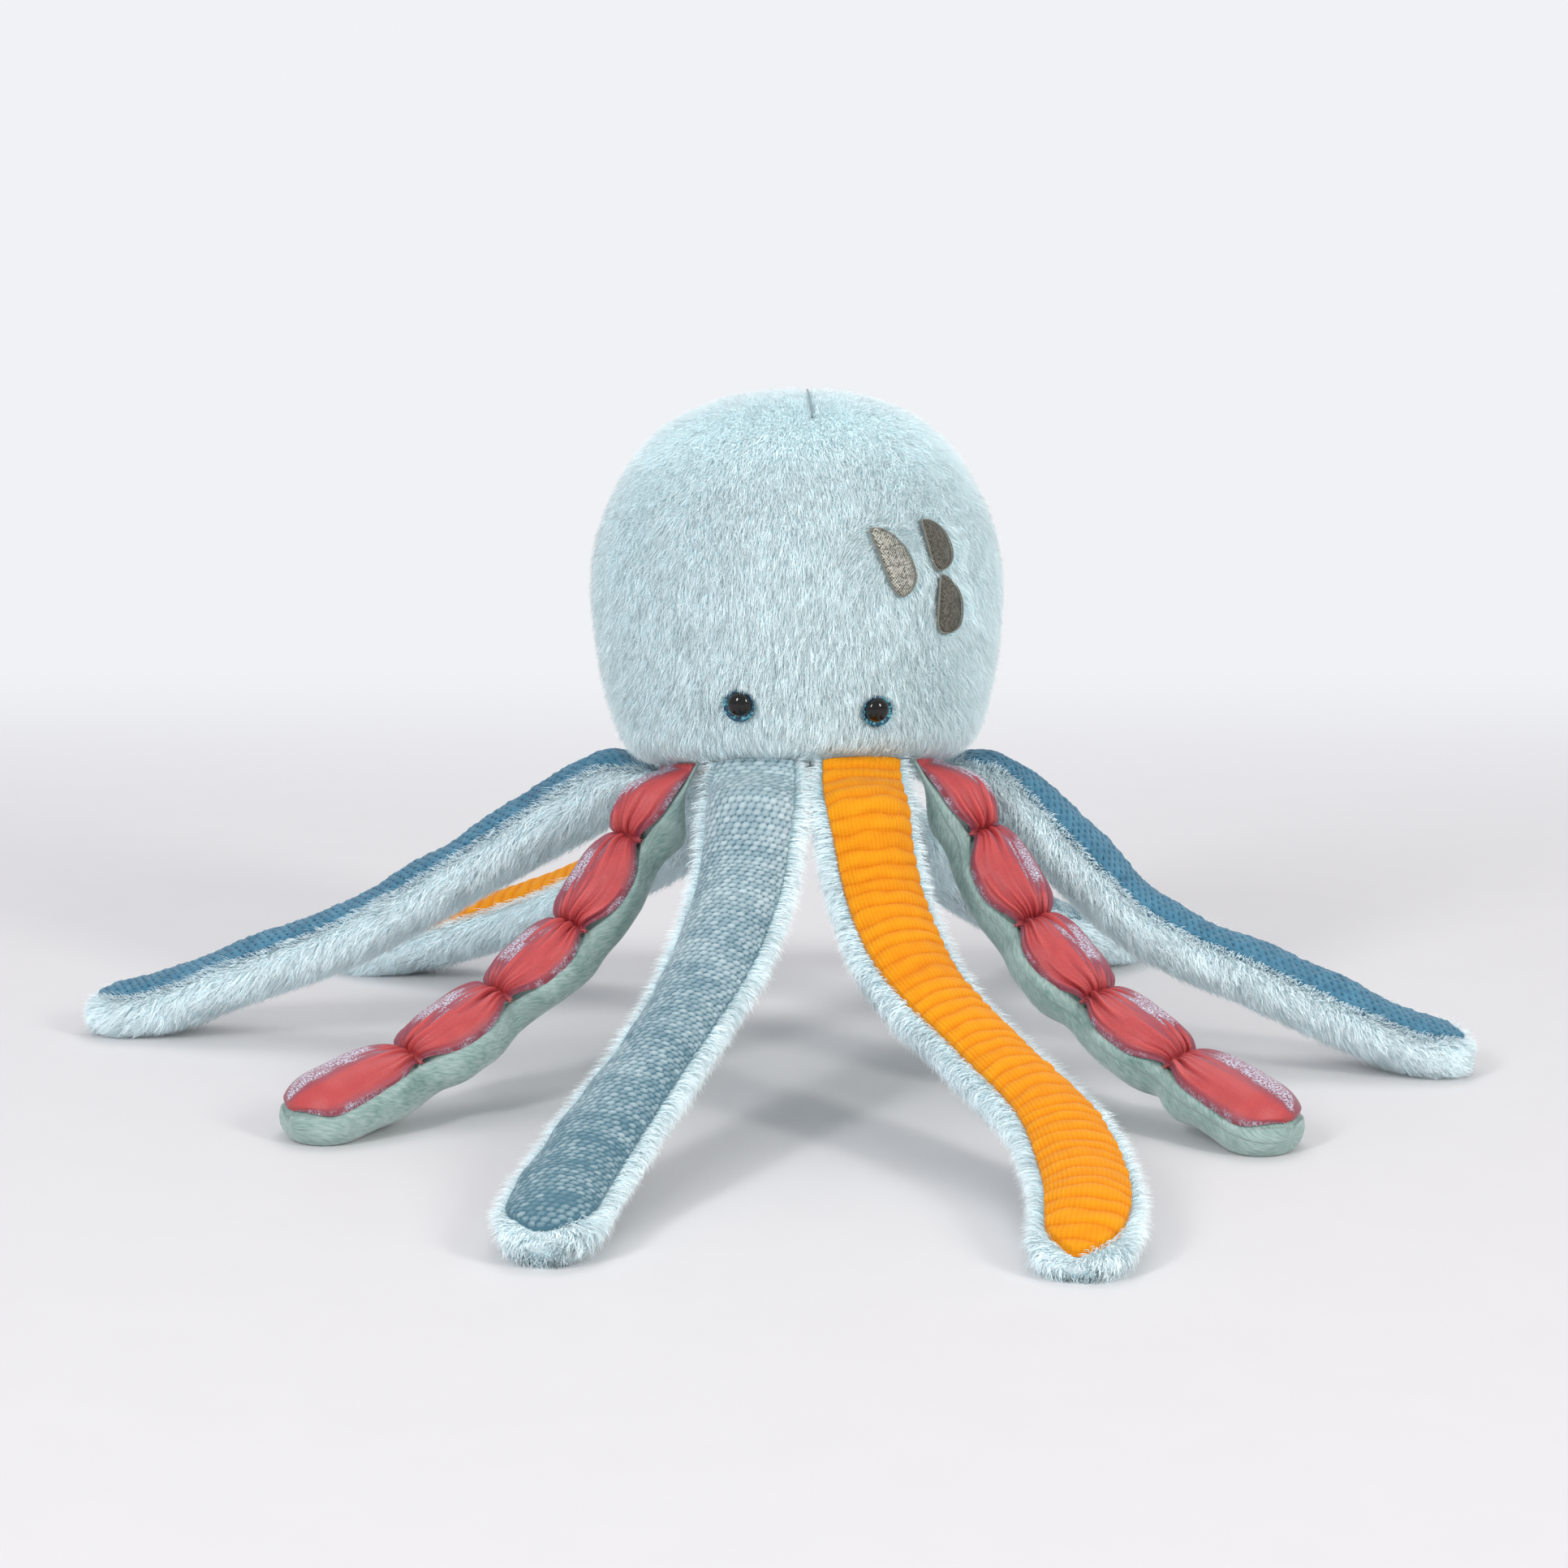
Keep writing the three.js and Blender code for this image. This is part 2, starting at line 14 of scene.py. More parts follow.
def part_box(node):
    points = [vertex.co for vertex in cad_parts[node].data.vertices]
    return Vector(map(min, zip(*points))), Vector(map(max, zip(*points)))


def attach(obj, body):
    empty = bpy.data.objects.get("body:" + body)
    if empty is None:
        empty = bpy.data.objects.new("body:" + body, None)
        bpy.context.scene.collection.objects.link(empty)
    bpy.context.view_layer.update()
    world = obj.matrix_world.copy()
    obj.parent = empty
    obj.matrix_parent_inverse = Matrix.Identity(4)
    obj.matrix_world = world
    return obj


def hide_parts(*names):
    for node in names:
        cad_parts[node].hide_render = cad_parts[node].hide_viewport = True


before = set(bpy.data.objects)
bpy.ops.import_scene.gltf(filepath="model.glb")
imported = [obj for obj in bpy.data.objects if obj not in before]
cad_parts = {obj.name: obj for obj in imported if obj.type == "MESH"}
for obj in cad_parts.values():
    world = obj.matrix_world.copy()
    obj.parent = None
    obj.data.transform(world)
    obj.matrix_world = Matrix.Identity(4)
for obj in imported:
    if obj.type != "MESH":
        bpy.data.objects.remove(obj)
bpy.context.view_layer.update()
MM = 0.001

# Head
HEAD_RADIUS = 99
HEAD_HEIGHT = 184
HEAD_DEPTH_SHARE = 0.96
HEAD_TILT, HEAD_LEAN, HEAD_YAW = -11, -0.8, 3
HEAD_OUTLINE_SHARES = [
    (0.71, 0), (0.81, 0.03), (0.875, 0.085), (0.93, 0.18), (0.97, 0.28), (0.996, 0.39), (1, 0.48),
    (0.98, 0.59), (0.925, 0.7), (0.825, 0.81), (0.66, 0.905), (0.44, 0.966), (0.22, 0.993), (0, 1),
]
BASE_WALL = 3
SKIN_SINK, CROWN_SINK = 1.5, 5.6
HEAD_PILE = 7
HEAD_HAIRS = 360000
HEAD_PILE_PIECES = 6
UNDER_PILE = 2.5
UNDER_HAIRS = 12000
DART_ASIDE = 6
DART_HEIGHT_SHARE = 0.885
DART_REACH = 2.6
DART_DEPTH = 2.6
DART_RADIUS = 0.6

# Eyes
EYES = {"left": (-21, 0.132), "right": (21, 0.111)}
EYE_RADIUS = 6
EYE_HEIGHT = 4.6
DISC_RADIUS = 7.6
DISC_THICKNESS = 1
FABRIC_GAP = 0.3
EYE_PARTING = 4
DISC_DROP = 1.5

# Spots: a row is a share of the length up, then the shares of the width where it starts and ends
SPOTS = {
    "spot_large": dict(degrees=24.5, height_share=0.49, length=35, width=17, turn=20),
    "spot_upper": dict(degrees=39.5, height_share=0.535, length=25, width=17, turn=12),
    "spot_lower": dict(degrees=43.5, height_share=0.38, length=27, width=20, turn=-4),
}
SPOT_ROW_SHARES = [
    (0.5, -0.31, -0.29), (0.47, -0.34, -0.1), (0.4, -0.35, 0.09), (0.3, -0.355, 0.26), (0.15, -0.35, 0.42),
    (0, -0.35, 0.49), (-0.15, -0.34, 0.52), (-0.3, -0.32, 0.48), (-0.4, -0.28, 0.36), (-0.47, -0.2, 0.17),
    (-0.5, -0.09, -0.04),
]
SPOT_LIFT = 2.6
STITCH_PITCH = 0.5
STITCH_WIDTH = 1.1

# Limbs
HINGE_RADIUS = 66
ROOT_RADIUS = 4.5
ROOT_GAP = 0.2
LIMB_HALF_WIDTH = 23.5
LIMB_HALF_THICKNESS = 17.5
NECK_LENGTH = 7
SWELL_LENGTH = 26
LIMB_REACH = 330
TIP_LENGTH = 22
TIP_END_SHARE = 0.3
FLOOR_CUT = 0.5
SEAM_HEIGHT = 153
LEVEL_SHARE = 0.3
PLAIN_THICKNESS = [(0, 1), (0.2, 1), (0.45, 0.88), (1, 0.86)]
CORAL_THICKNESS = [(0, 1), (0.8, 0.97), (1, 0.97)]
PLAIN_WIDTH = [(0, 0.93), (0.12, 1), (0.3, 0.98), (0.55, 0.87), (0.8, 0.95), (1, 0.93)]
CORAL_WIDTH = [(0, 0.9), (0.15, 0.93), (0.6, 0.93), (0.85, 0.98), (1, 1.04)]
PINCHES = [0.17, 0.365, 0.555, 0.76]
PINCH_REACH = 0.035
FACE_SEAM = 28
CORAL_SEAM = 12
LIMB_PILE = 9
LIMB_HAIRS = 66000
LIMB_SINK = 3.2
RIM_DEGREES = 38
PLAIN_END, CORAL_END = 2.5, 1
ROUND_END = {"knit": 34, "orange": 50, "satin": 20, "waffle": 34}
KNIT_SEAM, WAFFLE_SEAM, ROOT_SEAM, ROOT_SEAM_LENGTH = 21, 36, 10, 60
CORAL_SWELL = 28
END_DROOP = {"knit": 3, "orange": 8, "satin": 5, "waffle": 3}
END_FLAT = {"knit": 0.15, "orange": 0.4, "satin": 0.1, "waffle": 0.1}
DROOP_LENGTH = 48
PINCH_SEAM = 38
CLEAR_OF_FLOOR = 0.25

# A row of a route: shares of the reach outwards and to the side, and share of the root's height
LIMBS = {
    "front_left": (-22.5, "knit", [
        (0.266, 0.021, 0.909), (0.336, 0.032, 0.677), (0.444, 0.035, 0.489), (0.6, 0.029, 0.308),
        (0.786, 0.021, 0.151), (0.932, 0.018, 0.035), (1.107, 0.042, -0.017),
    ]),
    "front_right": (22.5, "orange", [
        (0.262, -0.028, 0.895), (0.342, -0.042, 0.627), (0.467, -0.048, 0.409), (0.643, -0.025, 0.228),
        (0.812, -0.021, 0.116), (0.946, -0.058, 0.04), (1.05, -0.108, 0.003), (1.146, -0.181, 0),
    ]),
    "coral_left": (-67.5, "satin", [
        (0.271, 0.005, 0.735), (0.376, 0.029, 0.445), (0.518, 0.058, 0.222), (0.691, 0.097, 0.046),
        (0.852, 0.124, -0.027),
    ]),
    "coral_right": (67.5, "satin", [
        (0.282, -0.016, 0.735), (0.378, -0.069, 0.46), (0.5, -0.132, 0.226), (0.667, -0.214, 0.049),
        (0.814, -0.284, -0.03),
    ]),
    "blue_left": (-112.5, "waffle", [
        (0.286, 0.008, 0.88), (0.363, 0.028, 0.776), (0.486, 0.058, 0.595), (0.61, 0.088, 0.409),
        (0.709, 0.112, 0.279), (0.872, 0.151, 0.124), (0.991, 0.18, 0.013), (1.103, 0.207, -0.005),
    ]),
    "blue_right": (112.5, "waffle", [
        (0.268, -0.03, 0.895), (0.335, -0.093, 0.772), (0.387, -0.138, 0.634), (0.471, -0.208, 0.402),
        (0.528, -0.252, 0.311), (0.602, -0.314, 0.228), (0.68, -0.376, 0.128), (0.785, -0.46, 0.011),
        (0.861, -0.518, -0.013),
    ]),
    "back_left": (-157.5, "orange", [
        (0.282, 0, 0.735), (0.417, 0.043, 0.503), (0.559, 0.13, 0.286), (0.698, 0.238, 0.122),
        (0.806, 0.338, 0.015), (0.891, 0.431, -0.009),
    ]),
    "back_right": (157.5, "knit", [
        (0.286, -0.008, 0.721), (0.421, -0.063, 0.474), (0.562, -0.135, 0.242), (0.684, -0.208, 0.081),
        (0.781, -0.263, 0.007), (0.87, -0.296, -0.004),
    ]),
}

# Cloths of the limbs' faces
CLOTH_STEP = 0.5
CLOTH_COLUMNS = 104
UV_PER_MM = 0.0028
KNOT_ACROSS, KNOT_ALONG, KNOT_HEIGHT = 3.6, 2.9, 1.2
CHANNEL_PITCH, CHANNEL_HEIGHT, CHANNEL_DRIFT = 8.6, 1.7, 1.3
JERSEY_PITCH = 1.8
PIT_ACROSS, PIT_ALONG, WAFFLE_HEIGHT = 3.4, 4.4, 1.6
GATHER_HEIGHT, GATHER_REACH = 1.6, 15
EDGE_TUCK, EDGE_REACH = 1.8, 3.5

# Camera and light
CAMERA_ASIDE = -8.3
CAMERA_BACK = 1782
CAMERA_HEIGHT = 454
CAMERA_PITCH = 10
CAMERA_LENS = 83.85
SENSOR = 36
CAMERA_FAR_END = 100
FAR_START, FAR_END = 0.45, 1.5
FLOOR_FRONT, FLOOR_BACK, FLOOR_HALF_WIDTH = -4000, 2500, 6000
SWEEP_RADIUS, SWEEP_STEPS, BACKDROP_HEIGHT = 900, 24, 3500
LAMP_AIM = (0, 0, 0.12)
SKY_STRENGTH = 0.7

# Lamps: place and sides in metres, power in watts, colour
LAMPS = {
    "key": ((-1.5, -2.0, 1.7), (0.45, 1.0), 30, (0.985, 0.99, 1)),
    "fill": ((1.9, -1.8, 1.5), (0.4, 0.9), 27, (1, 0.98, 0.95)),
    "top": ((0.1, 0.8, 2.4), (1.4, 1.4), 13, (1, 1, 1)),
}

# Colours, as the photograph's own display values from 0 to 255
# Each pile's root colour is its painted shade deep in the pile; the skins mix the same two colours at random.
PLUSH_TIP, PLUSH_ROOT = (236, 246, 247), (182, 210, 217)
PALE_TIP, PALE_ROOT = (236, 245, 247), (190, 213, 219)
VELVET_LIGHT, VELVET_DARK = (186, 206, 200), (116, 148, 142)
# The dark colours of the knit, orange, coral and waffle cloths serve as painted shade in their hollows,
# valleys and folds; the knit's is also its yarn's own colour between the knots.
KNIT_LIGHT, KNIT_DARK = (196, 214, 219), (82, 121, 136)
ORANGE_LIGHT, ORANGE_DARK = (248, 166, 24), (218, 112, 4)
# The dart's thread colour is painted shade in the fur's parting.
DART_SHADE_COLOUR = (130, 160, 167)
CORAL_LIGHT, CORAL_DARK = (216, 84, 83), (142, 34, 44)
# The satin's purplish colour is painted shade and its silvery white is painted glints, both placed by which
# way the cloth faces.
MAUVE_SHADE_COLOUR, SILVER_GLINT_COLOUR = (134, 72, 90), (222, 232, 248)
WAFFLE_LIGHT, WAFFLE_DARK = (84, 138, 164), (28, 72, 98)
LUREX_LIGHT, LUREX_DARK = (230, 229, 216), (46, 46, 40)
DULL_LIGHT, DULL_DARK = (134, 132, 120), (40, 40, 34)
STITCH_COLOUR = (150, 149, 138)
GLITTER_LIGHT, GLITTER_DARK = (110, 214, 232), (12, 62, 92)
FLOOR_COLOUR = (223, 221, 222)
BACKDROP_COLOUR = (241, 242, 246)


def linear(colour):
    """A display colour from 0 to 255 as the linear colour that a shader takes."""
    shares = np.array(colour) / 255
    return tuple(np.where(shares <= 0.04045, shares / 12.92, ((shares + 0.055) / 1.055) ** 2.4)) + (1.0,)


def turn_about(axis, degrees):
    return np.array(Matrix.Rotation(math.radians(degrees), 3, axis))


HEAD_TURN = turn_about("Z", HEAD_YAW) @ turn_about("Y", HEAD_LEAN) @ turn_about("X", HEAD_TILT)
base_low, base_high = (np.array(corner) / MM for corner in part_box("head_base_panel"))
HEAD_ORIGIN = (base_low + base_high) / 2 - HEAD_TURN @ np.array([0, 0, BASE_WALL / 2])
TOY_AXIS = np.array([HEAD_ORIGIN[0], HEAD_ORIGIN[1], 0])


def from_head(points):
    return points @ HEAD_TURN.T + HEAD_ORIGIN


def round_steps(count):
    """Angles all round, evenly stepped, in radians."""
    return np.linspace(0, math.tau, count, endpoint=False)


def add_to_scene(name, data):
    added = bpy.data.objects.new(name, data)
    bpy.context.scene.collection.objects.link(added)
    return added


def smooth(share):
    share = np.clip(share, 0, 1)
    return share * share * (3 - 2 * share)


def unit(vectors):
    return vectors / np.maximum(np.linalg.norm(vectors, axis=-1, keepdims=True), 1e-9)


def spline(points, steps):
    """Points on a smooth curve through the given ones, evenly stepped between each two."""
    points = np.array(points, float)
    padded = np.vstack([points[:1], points, points[-1:]])
    t = np.linspace(0, 1, steps, endpoint=False)[:, None]
    found = []
    for a, b, c, d in zip(padded, padded[1:], padded[2:], padded[3:]):
        bend = (c - a) * t + (2 * a - 5 * b + 4 * c - d) * t**2 + (3 * b - a - 3 * c + d) * t**3
        found.append(b + bend / 2)
    return np.vstack([*found, points[-1:]])


WAVE_COUNT = 7


def ripple(places, size, seed):
    """A smooth random value, mostly from -1 to 1, whose bumps are about as wide as size."""
    chance = np.random.default_rng(seed)
    total = np.zeros(places.shape[:-1])
    for _ in range(WAVE_COUNT):
        direction = unit(chance.normal(size=places.shape[-1])) * math.tau / size * chance.uniform(0.5, 1.5)
        total += np.sin(places @ direction + chance.uniform(0, math.tau))
    return total / math.sqrt(WAVE_COUNT)


CELL_FACTORS = (73856093, 19349663, 83492791)
CELL_TABLE = 65537


def of_cell(cells, seed):
    """Three random numbers from 0 to 1 for each whole-number cell."""
    mixed = cells[..., 0] * CELL_FACTORS[0]
    for k in range(1, cells.shape[-1]):
        mixed = mixed ^ (cells[..., k] * CELL_FACTORS[k])
    return np.random.default_rng(seed).random((CELL_TABLE, 3))[mixed % CELL_TABLE]


def own_of(column, row, seed):
    """A random number from 0 to 1 for each cell of a cloth."""
    return of_cell(np.stack([column, row], axis=-1).astype(np.int64), seed)[..., 0]


def tufts(places, size, seed):
    """The nearest of a cloud of scattered centres to each place, and a random number for it."""
    cells = np.floor(places / size).astype(np.int64)
    best = np.full(len(places), np.inf)
    centres, numbers = np.zeros_like(places), np.zeros(len(places))
    for step in itertools.product((-1, 0, 1), repeat=3):
        drawn = of_cell(cells + step, seed)
        candidates = (cells + step + drawn) * size
        apart = np.linalg.norm(candidates - places, axis=1)
        closer = apart < best
        best[closer], centres[closer], numbers[closer] = apart[closer], candidates[closer], drawn[closer, 0]
    return centres, numbers


def make_mesh(name, points, polygons, body, look, lift=None, paint=None, uv=None):
    """A piece from points in millimetres and equal-sided polygons, riding on a body."""
    mesh = bpy.data.meshes.new(name)
    mesh.vertices.add(len(points))
    mesh.vertices.foreach_set("co", (points * MM).astype(np.float32).ravel())
    corners = np.concatenate([group.ravel() for group in polygons])
    sides = np.concatenate([np.full(len(group), group.shape[1]) for group in polygons])
    mesh.loops.add(len(corners))
    mesh.loops.foreach_set("vertex_index", corners.astype(np.int32))
    mesh.polygons.add(len(sides))
    mesh.polygons.foreach_set("loop_start", (np.cumsum(sides) - sides).astype(np.int32))
    mesh.update(calc_edges=True)
    mesh.shade_smooth()
    if paint is not None:
        values = np.ones((len(points), 4), np.float32)
        values[:, :3] = paint
        mesh.color_attributes.new("paint", "FLOAT_COLOR", "POINT").data.foreach_set("color", values.ravel())
    if uv is not None:
        layer = mesh.uv_layers.new(name="cloth")
        layer.uv.foreach_set("vector", uv[corners].astype(np.float32).ravel())
    if lift is not None:
        mesh.attributes.new("lift", "FLOAT_VECTOR", "POINT").data.foreach_set(
            "vector", lift.astype(np.float32).ravel())
    mesh.materials.append(look)
    piece = add_to_scene(name, mesh)
    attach(piece, body)
    return piece


def grid_faces(rows, columns, closed=False):
    i, j = np.meshgrid(np.arange(rows - 1), np.arange(columns - (not closed)), indexing="ij")
    k = (j + 1) % columns
    corners = [i * columns + j, i * columns + k, (i + 1) * columns + k, (i + 1) * columns + j]
    return np.stack(corners, axis=-1).reshape(-1, 4)


def make_grid(name, grid, outward, body, look, closed=False, **extras):
    """A piece from rows of points, its faces turned the way that outward says."""
    faces = grid_faces(grid.shape[0], grid.shape[1], closed)
    points = grid.reshape(-1, 3)
    corner = points[faces]
    facing = np.cross(corner[:, 1] - corner[:, 0], corner[:, 3] - corner[:, 0])
    if np.sum(facing * outward.reshape(-1, 3)[faces[:, 0]]) < 0:
        faces = faces[:, ::-1]
    return make_mesh(name, points, [faces], body, look, **extras)


def grid_normals(grid, closed=False):
    """Unit normals of rows of points, by the difference of neighbours."""
    along = np.gradient(grid, axis=0)
    if closed:
        across = np.roll(grid, -1, axis=1) - np.roll(grid, 1, axis=1)
    else:
        across = np.gradient(grid, axis=1)
    return unit(np.cross(along, across))


GOLDEN = (math.sqrt(5) - 1) / 2


def even_pairs(count, seed):
    """Pairs of shares spread evenly over a square, a little shaken."""
    index = np.arange(count)
    chance = np.random.default_rng(seed)
    shake = chance.uniform(-0.5, 0.5, (count, 2)) / math.sqrt(count)
    pairs = np.stack([(index + 0.5) / count, index * GOLDEN % 1], axis=1) + shake
    return np.clip(pairs[:, 0], 0, 1), pairs[:, 1] % 1


def make_pile(name, roots, normals, lays, lengths, body, look, seed, lean=(25, 62), width=0.6, tuft=4.5,
              pull=0.45, wander=0.35, squash=(1, 1, 1), bias=0.0):
    """Hairs as narrow tapered blades that lean over the skin along lays and gather in tufts.

    Places are squashed before they are sorted into tufts, so that a tuft is long where squash is small.
    The bias is added to the direction that lights each hair.
    """
    chance = np.random.default_rng(seed)
    count = len(roots)
    squashed = roots * squash
    centres, tint = tufts(squashed, tuft, seed)
    inward = centres - squashed
    inward -= normals * np.sum(inward * normals, axis=1, keepdims=True)
    lays = lays + wander * chance.normal(size=(count, 3))
    lays = unit(lays - normals * np.sum(lays * normals, axis=1, keepdims=True))
    lengths = (lengths * chance.uniform(0.65, 1.15, count) * (0.86 + 0.28 * tint))[:, None]
    first, second = (np.radians(degrees + 9 * chance.normal(size=(count, 1))) for degrees in lean)
    middle = roots + 0.45 * lengths * (normals * np.cos(first) + lays * np.sin(first))
    tip = middle + 0.55 * lengths * (normals * np.cos(second) + lays * np.sin(second)) + pull * inward
    side = np.cross(normals, lays) + 0.5 * chance.normal(size=(count, 3))
    side = unit(side) * width / 2
    start = roots - 0.6 * normals
    points = np.stack([start - side, start + side, middle - 0.85 * side, middle + 0.85 * side, tip], axis=1)
    points[..., 2] = np.maximum(points[..., 2], CLEAR_OF_FLOOR)
    facing = np.sum(np.cross(2 * side, middle - start) * normals, axis=1) < 0
    points[facing] = points[facing][:, [1, 0, 3, 2, 4]]
    first_corner = np.arange(count)[:, None] * 5
    soft = unit(normals + bias + 0.25 * lays + 0.22 * chance.normal(size=(count, 3)))
    paint = np.zeros((count, 5, 3))
    paint[:, :, 0] = [0, 0, 0.55, 0.55, 1]
    paint[:, :, 1] = chance.random((count, 1))
    paint[:, :, 2] = tint[:, None]
    return make_mesh(
        name, points.reshape(-1, 3), [first_corner + [0, 1, 3, 2], first_corner + [2, 3, 4]], body, look,
        lift=np.repeat(soft, 5, axis=0), paint=paint.reshape(-1, 3),
    )


class Look:
    """A material whose nodes are added one by one."""

    def __init__(self, name, **sockets):
        self.material = bpy.data.materials.new(name)
        self.material.use_nodes = True
        self.nodes = self.material.node_tree.nodes
        self.links = self.material.node_tree.links
        self.shader = self.nodes["Principled BSDF"]
        for socket, value in sockets.items():
            self.shader.inputs[socket.replace("_", " ")].default_value = value

    def add(self, kind, inputs=None, **settings):
        node = self.nodes.new("ShaderNode" + kind)
        for key, value in settings.items():
            setattr(node, key, value)
        for key, value in (inputs or {}).items():
            self.put(value, node.inputs[key])
        return node

    def put(self, value, socket):
        if isinstance(value, bpy.types.NodeSocket):
            self.links.new(value, socket)
        else:
            socket.default_value = value

    def math(self, operation, first, second=0.0):
        return self.add("Math", {0: first, 1: second}, operation=operation).outputs[0]

    def times(self, first, second):
        return self.math("MULTIPLY", first, second)

    def plus(self, first, second):
        return self.math("ADD", first, second)

    def mix(self, factor, first, second, blend="MIX"):
        node = self.add("Mix", data_type="RGBA", blend_type=blend)
        self.put(factor, node.inputs[0])
        self.put(first, node.inputs[6])
        self.put(second, node.inputs[7])
        return node.outputs[2]

    def places(self):
        return self.add("TexCoord").outputs["Object"]

    def noise(self, size, detail=3.0, coordinates=None):
        """Noise whose bumps are about as wide as size, in millimetres."""
        if coordinates is None:
            coordinates = self.places()
        inputs = {"Vector": coordinates, "Scale": 1 / (size * MM), "Detail": detail}
        return self.add("TexNoise", inputs).outputs["Fac"]

    def spread(self, value, low, high):
        """The value from low to high, spread over 0 to 1."""
        return self.add("MapRange", {0: value, 1: low, 2: high}).outputs[0]

    def paint(self):
        """The piece's painted values: three sockets."""
        colour = self.add("Attribute", attribute_name="paint").outputs["Color"]
        return self.add("SeparateColor", {0: colour}).outputs

    def cloth(self):
        """Across and along the cloth, in millimetres: two sockets."""
        layer = self.add("UVMap", uv_map="cloth").outputs[0]
        parts = self.add("SeparateXYZ", {0: layer}).outputs
        return [self.times(part, 1 / UV_PER_MM) for part in parts[:2]]

    def along_cloth(self, across, along, across_scale, along_scale):
        """Coordinates for a noise that is drawn out along or across the cloth."""
        scaled = {0: self.times(across, across_scale), 1: self.times(along, along_scale)}
        return self.add("CombineXYZ", scaled).outputs[0]

    def cells(self, size):
        """Random numbers of small cells: three sockets."""
        cells = self.add("TexVoronoi", {"Vector": self.places(), "Scale": 1 / (size * MM)})
        return self.add("SeparateColor", {0: cells.outputs["Color"]}).outputs

    def bump(self, height, strength, distance):
        node = self.add("Bump", {"Height": height, "Strength": strength, "Distance": distance * MM})
        self.put(node.outputs[0], self.shader.inputs["Normal"])

    def done(self, colour):
        self.put(colour, self.shader.inputs["Base Color"])
        return self.material


def pile_look(name, root, tip, own_share, tuft_share):
    """Hair that is darker at its root, painted shade deep in the pile, with a shade of its own and of its
    tuft.

    A blade is lit by the skin's own outward direction, from whichever side of it the light comes.
    """
    look = Look(name, Roughness=0.9, Specular_IOR_Level=0.1)
    along, own, tuft = look.paint()[:3]
    # Painted shade: each hair is darker towards its root.
    colour = look.mix(along, linear(root), linear(tip))
    shade = look.plus(look.times(own, own_share), look.times(tuft, tuft_share))
    broad = look.times(look.noise(22), 0.16)
    shade = look.plus(look.plus(shade, broad), 0.92 - (own_share + tuft_share) / 2)
    grey = look.add("CombineColor", {0: shade, 1: shade, 2: shade}).outputs[0]
    colour = look.mix(1.0, colour, grey, "MULTIPLY")
    lift = look.add("Attribute", attribute_name="lift").outputs["Vector"]
    lift = look.add("VectorTransform", {0: lift}, vector_type="NORMAL", convert_from="OBJECT",
                    convert_to="WORLD").outputs[0]
    look.put(lift, look.shader.inputs["Normal"])
    behind = look.add("VectorMath", {0: lift, 1: (-1, -1, -1)}, operation="MULTIPLY").outputs[0]
    through = look.add("BsdfTranslucent", {"Color": colour, "Normal": behind})
    both = look.add("AddShader", {0: look.shader.outputs[0], 1: through.outputs[0]})
    look.put(both.outputs[0], look.nodes["Material Output"].inputs["Surface"])
    return look.done(colour)


def skin_look(name, root, tip):
    look = Look(name, Roughness=0.95, Sheen_Weight=0.2, Specular_IOR_Level=0.1)
    fine = look.noise(1.2)
    look.bump(fine, 0.8, 0.6)
    return look.done(look.mix(look.spread(fine, 0.35, 0.65), linear(root), linear(tip)))


def velvet_look():
    """Short pile brushed one way, in small slanted strokes."""
    look = Look("velvet", Roughness=0.85, Sheen_Weight=0.5, Sheen_Roughness=0.4, Specular_IOR_Level=0.15)
    across, along = look.cloth()
    slanted = look.plus(across, look.times(along, 0.6))
    strokes = look.noise(1.6, 4.0, look.along_cloth(slanted, along, 0.0011, 0.0004))
    broad = look.noise(14)
    shade = look.plus(look.spread(strokes, 0.35, 0.65), look.spread(broad, 0.3, 0.75))
    look.bump(strokes, 0.8, 0.5)
    return look.done(look.mix(look.times(shade, 0.5), linear(VELVET_DARK), linear(VELVET_LIGHT)))


def relief_look(name, dark, light, fibre, patches, fade):
    """Knitted cloth: dark between its knots and in its pits, painted shade over the knit's own darker yarn
    between its knots, with loose fibre on them and broader patches of shade.
    """
    look = Look(name, Roughness=0.92, Sheen_Weight=0.3, Sheen_Roughness=0.45, Specular_IOR_Level=0.15)
    relief, own, _ = look.paint()[:3]
    fibres = look.noise(fibre, 4.0)
    # Painted shade: the relief's low places are darker.
    shade = look.times(relief, look.plus(look.times(own, 0.3), 0.8))
    shade = look.plus(shade, look.times(look.math("SUBTRACT", fibres, 0.5), 0.7))
    across, along = look.cloth()
    bands = look.noise(patches, 4.0, look.along_cloth(across, along, 0.4 * MM, MM))
    broad = look.math("SUBTRACT", bands, 0.5)
    shade = look.plus(shade, look.times(broad, 0.9))
    shade = look.math("SUBTRACT", shade, look.times(along, fade))
    look.bump(fibres, 0.6, 0.4)
    return look.done(look.mix(look.spread(shade, 0.0, 1.0), linear(dark), linear(light)))


def jersey_look():
    """Ribbed jersey: fine ribs run along the limb, and the channels' valleys and the grooves between the ribs
    are darker: painted shade.
    """
    look = Look("orange_jersey", Roughness=0.85, Sheen_Weight=0.12, Sheen_Roughness=0.4,
                Specular_IOR_Level=0.15)
    relief = look.paint()[0]
    across, along = look.cloth()
    drift = look.times(look.noise(6), 0.8)
    turns = look.times(look.plus(across, drift), math.tau / JERSEY_PITCH)
    rib = look.plus(look.times(look.math("SINE", turns), 0.5), 0.5)
    loops = look.math("SINE", look.times(along, math.tau / (0.8 * JERSEY_PITCH)))
    yarn = look.plus(rib, look.times(loops, 0.25))
    look.bump(yarn, 0.7, 0.35)
    # Painted shade in the channels' valleys and between the ribs.
    shade = look.plus(look.times(relief, 0.6), look.times(rib, 0.15))
    shade = look.plus(shade, look.times(look.noise(2.0, 4.0), 0.25))
    return look.done(look.mix(look.spread(shade, -0.05, 0.95), linear(ORANGE_DARK), linear(ORANGE_LIGHT)))


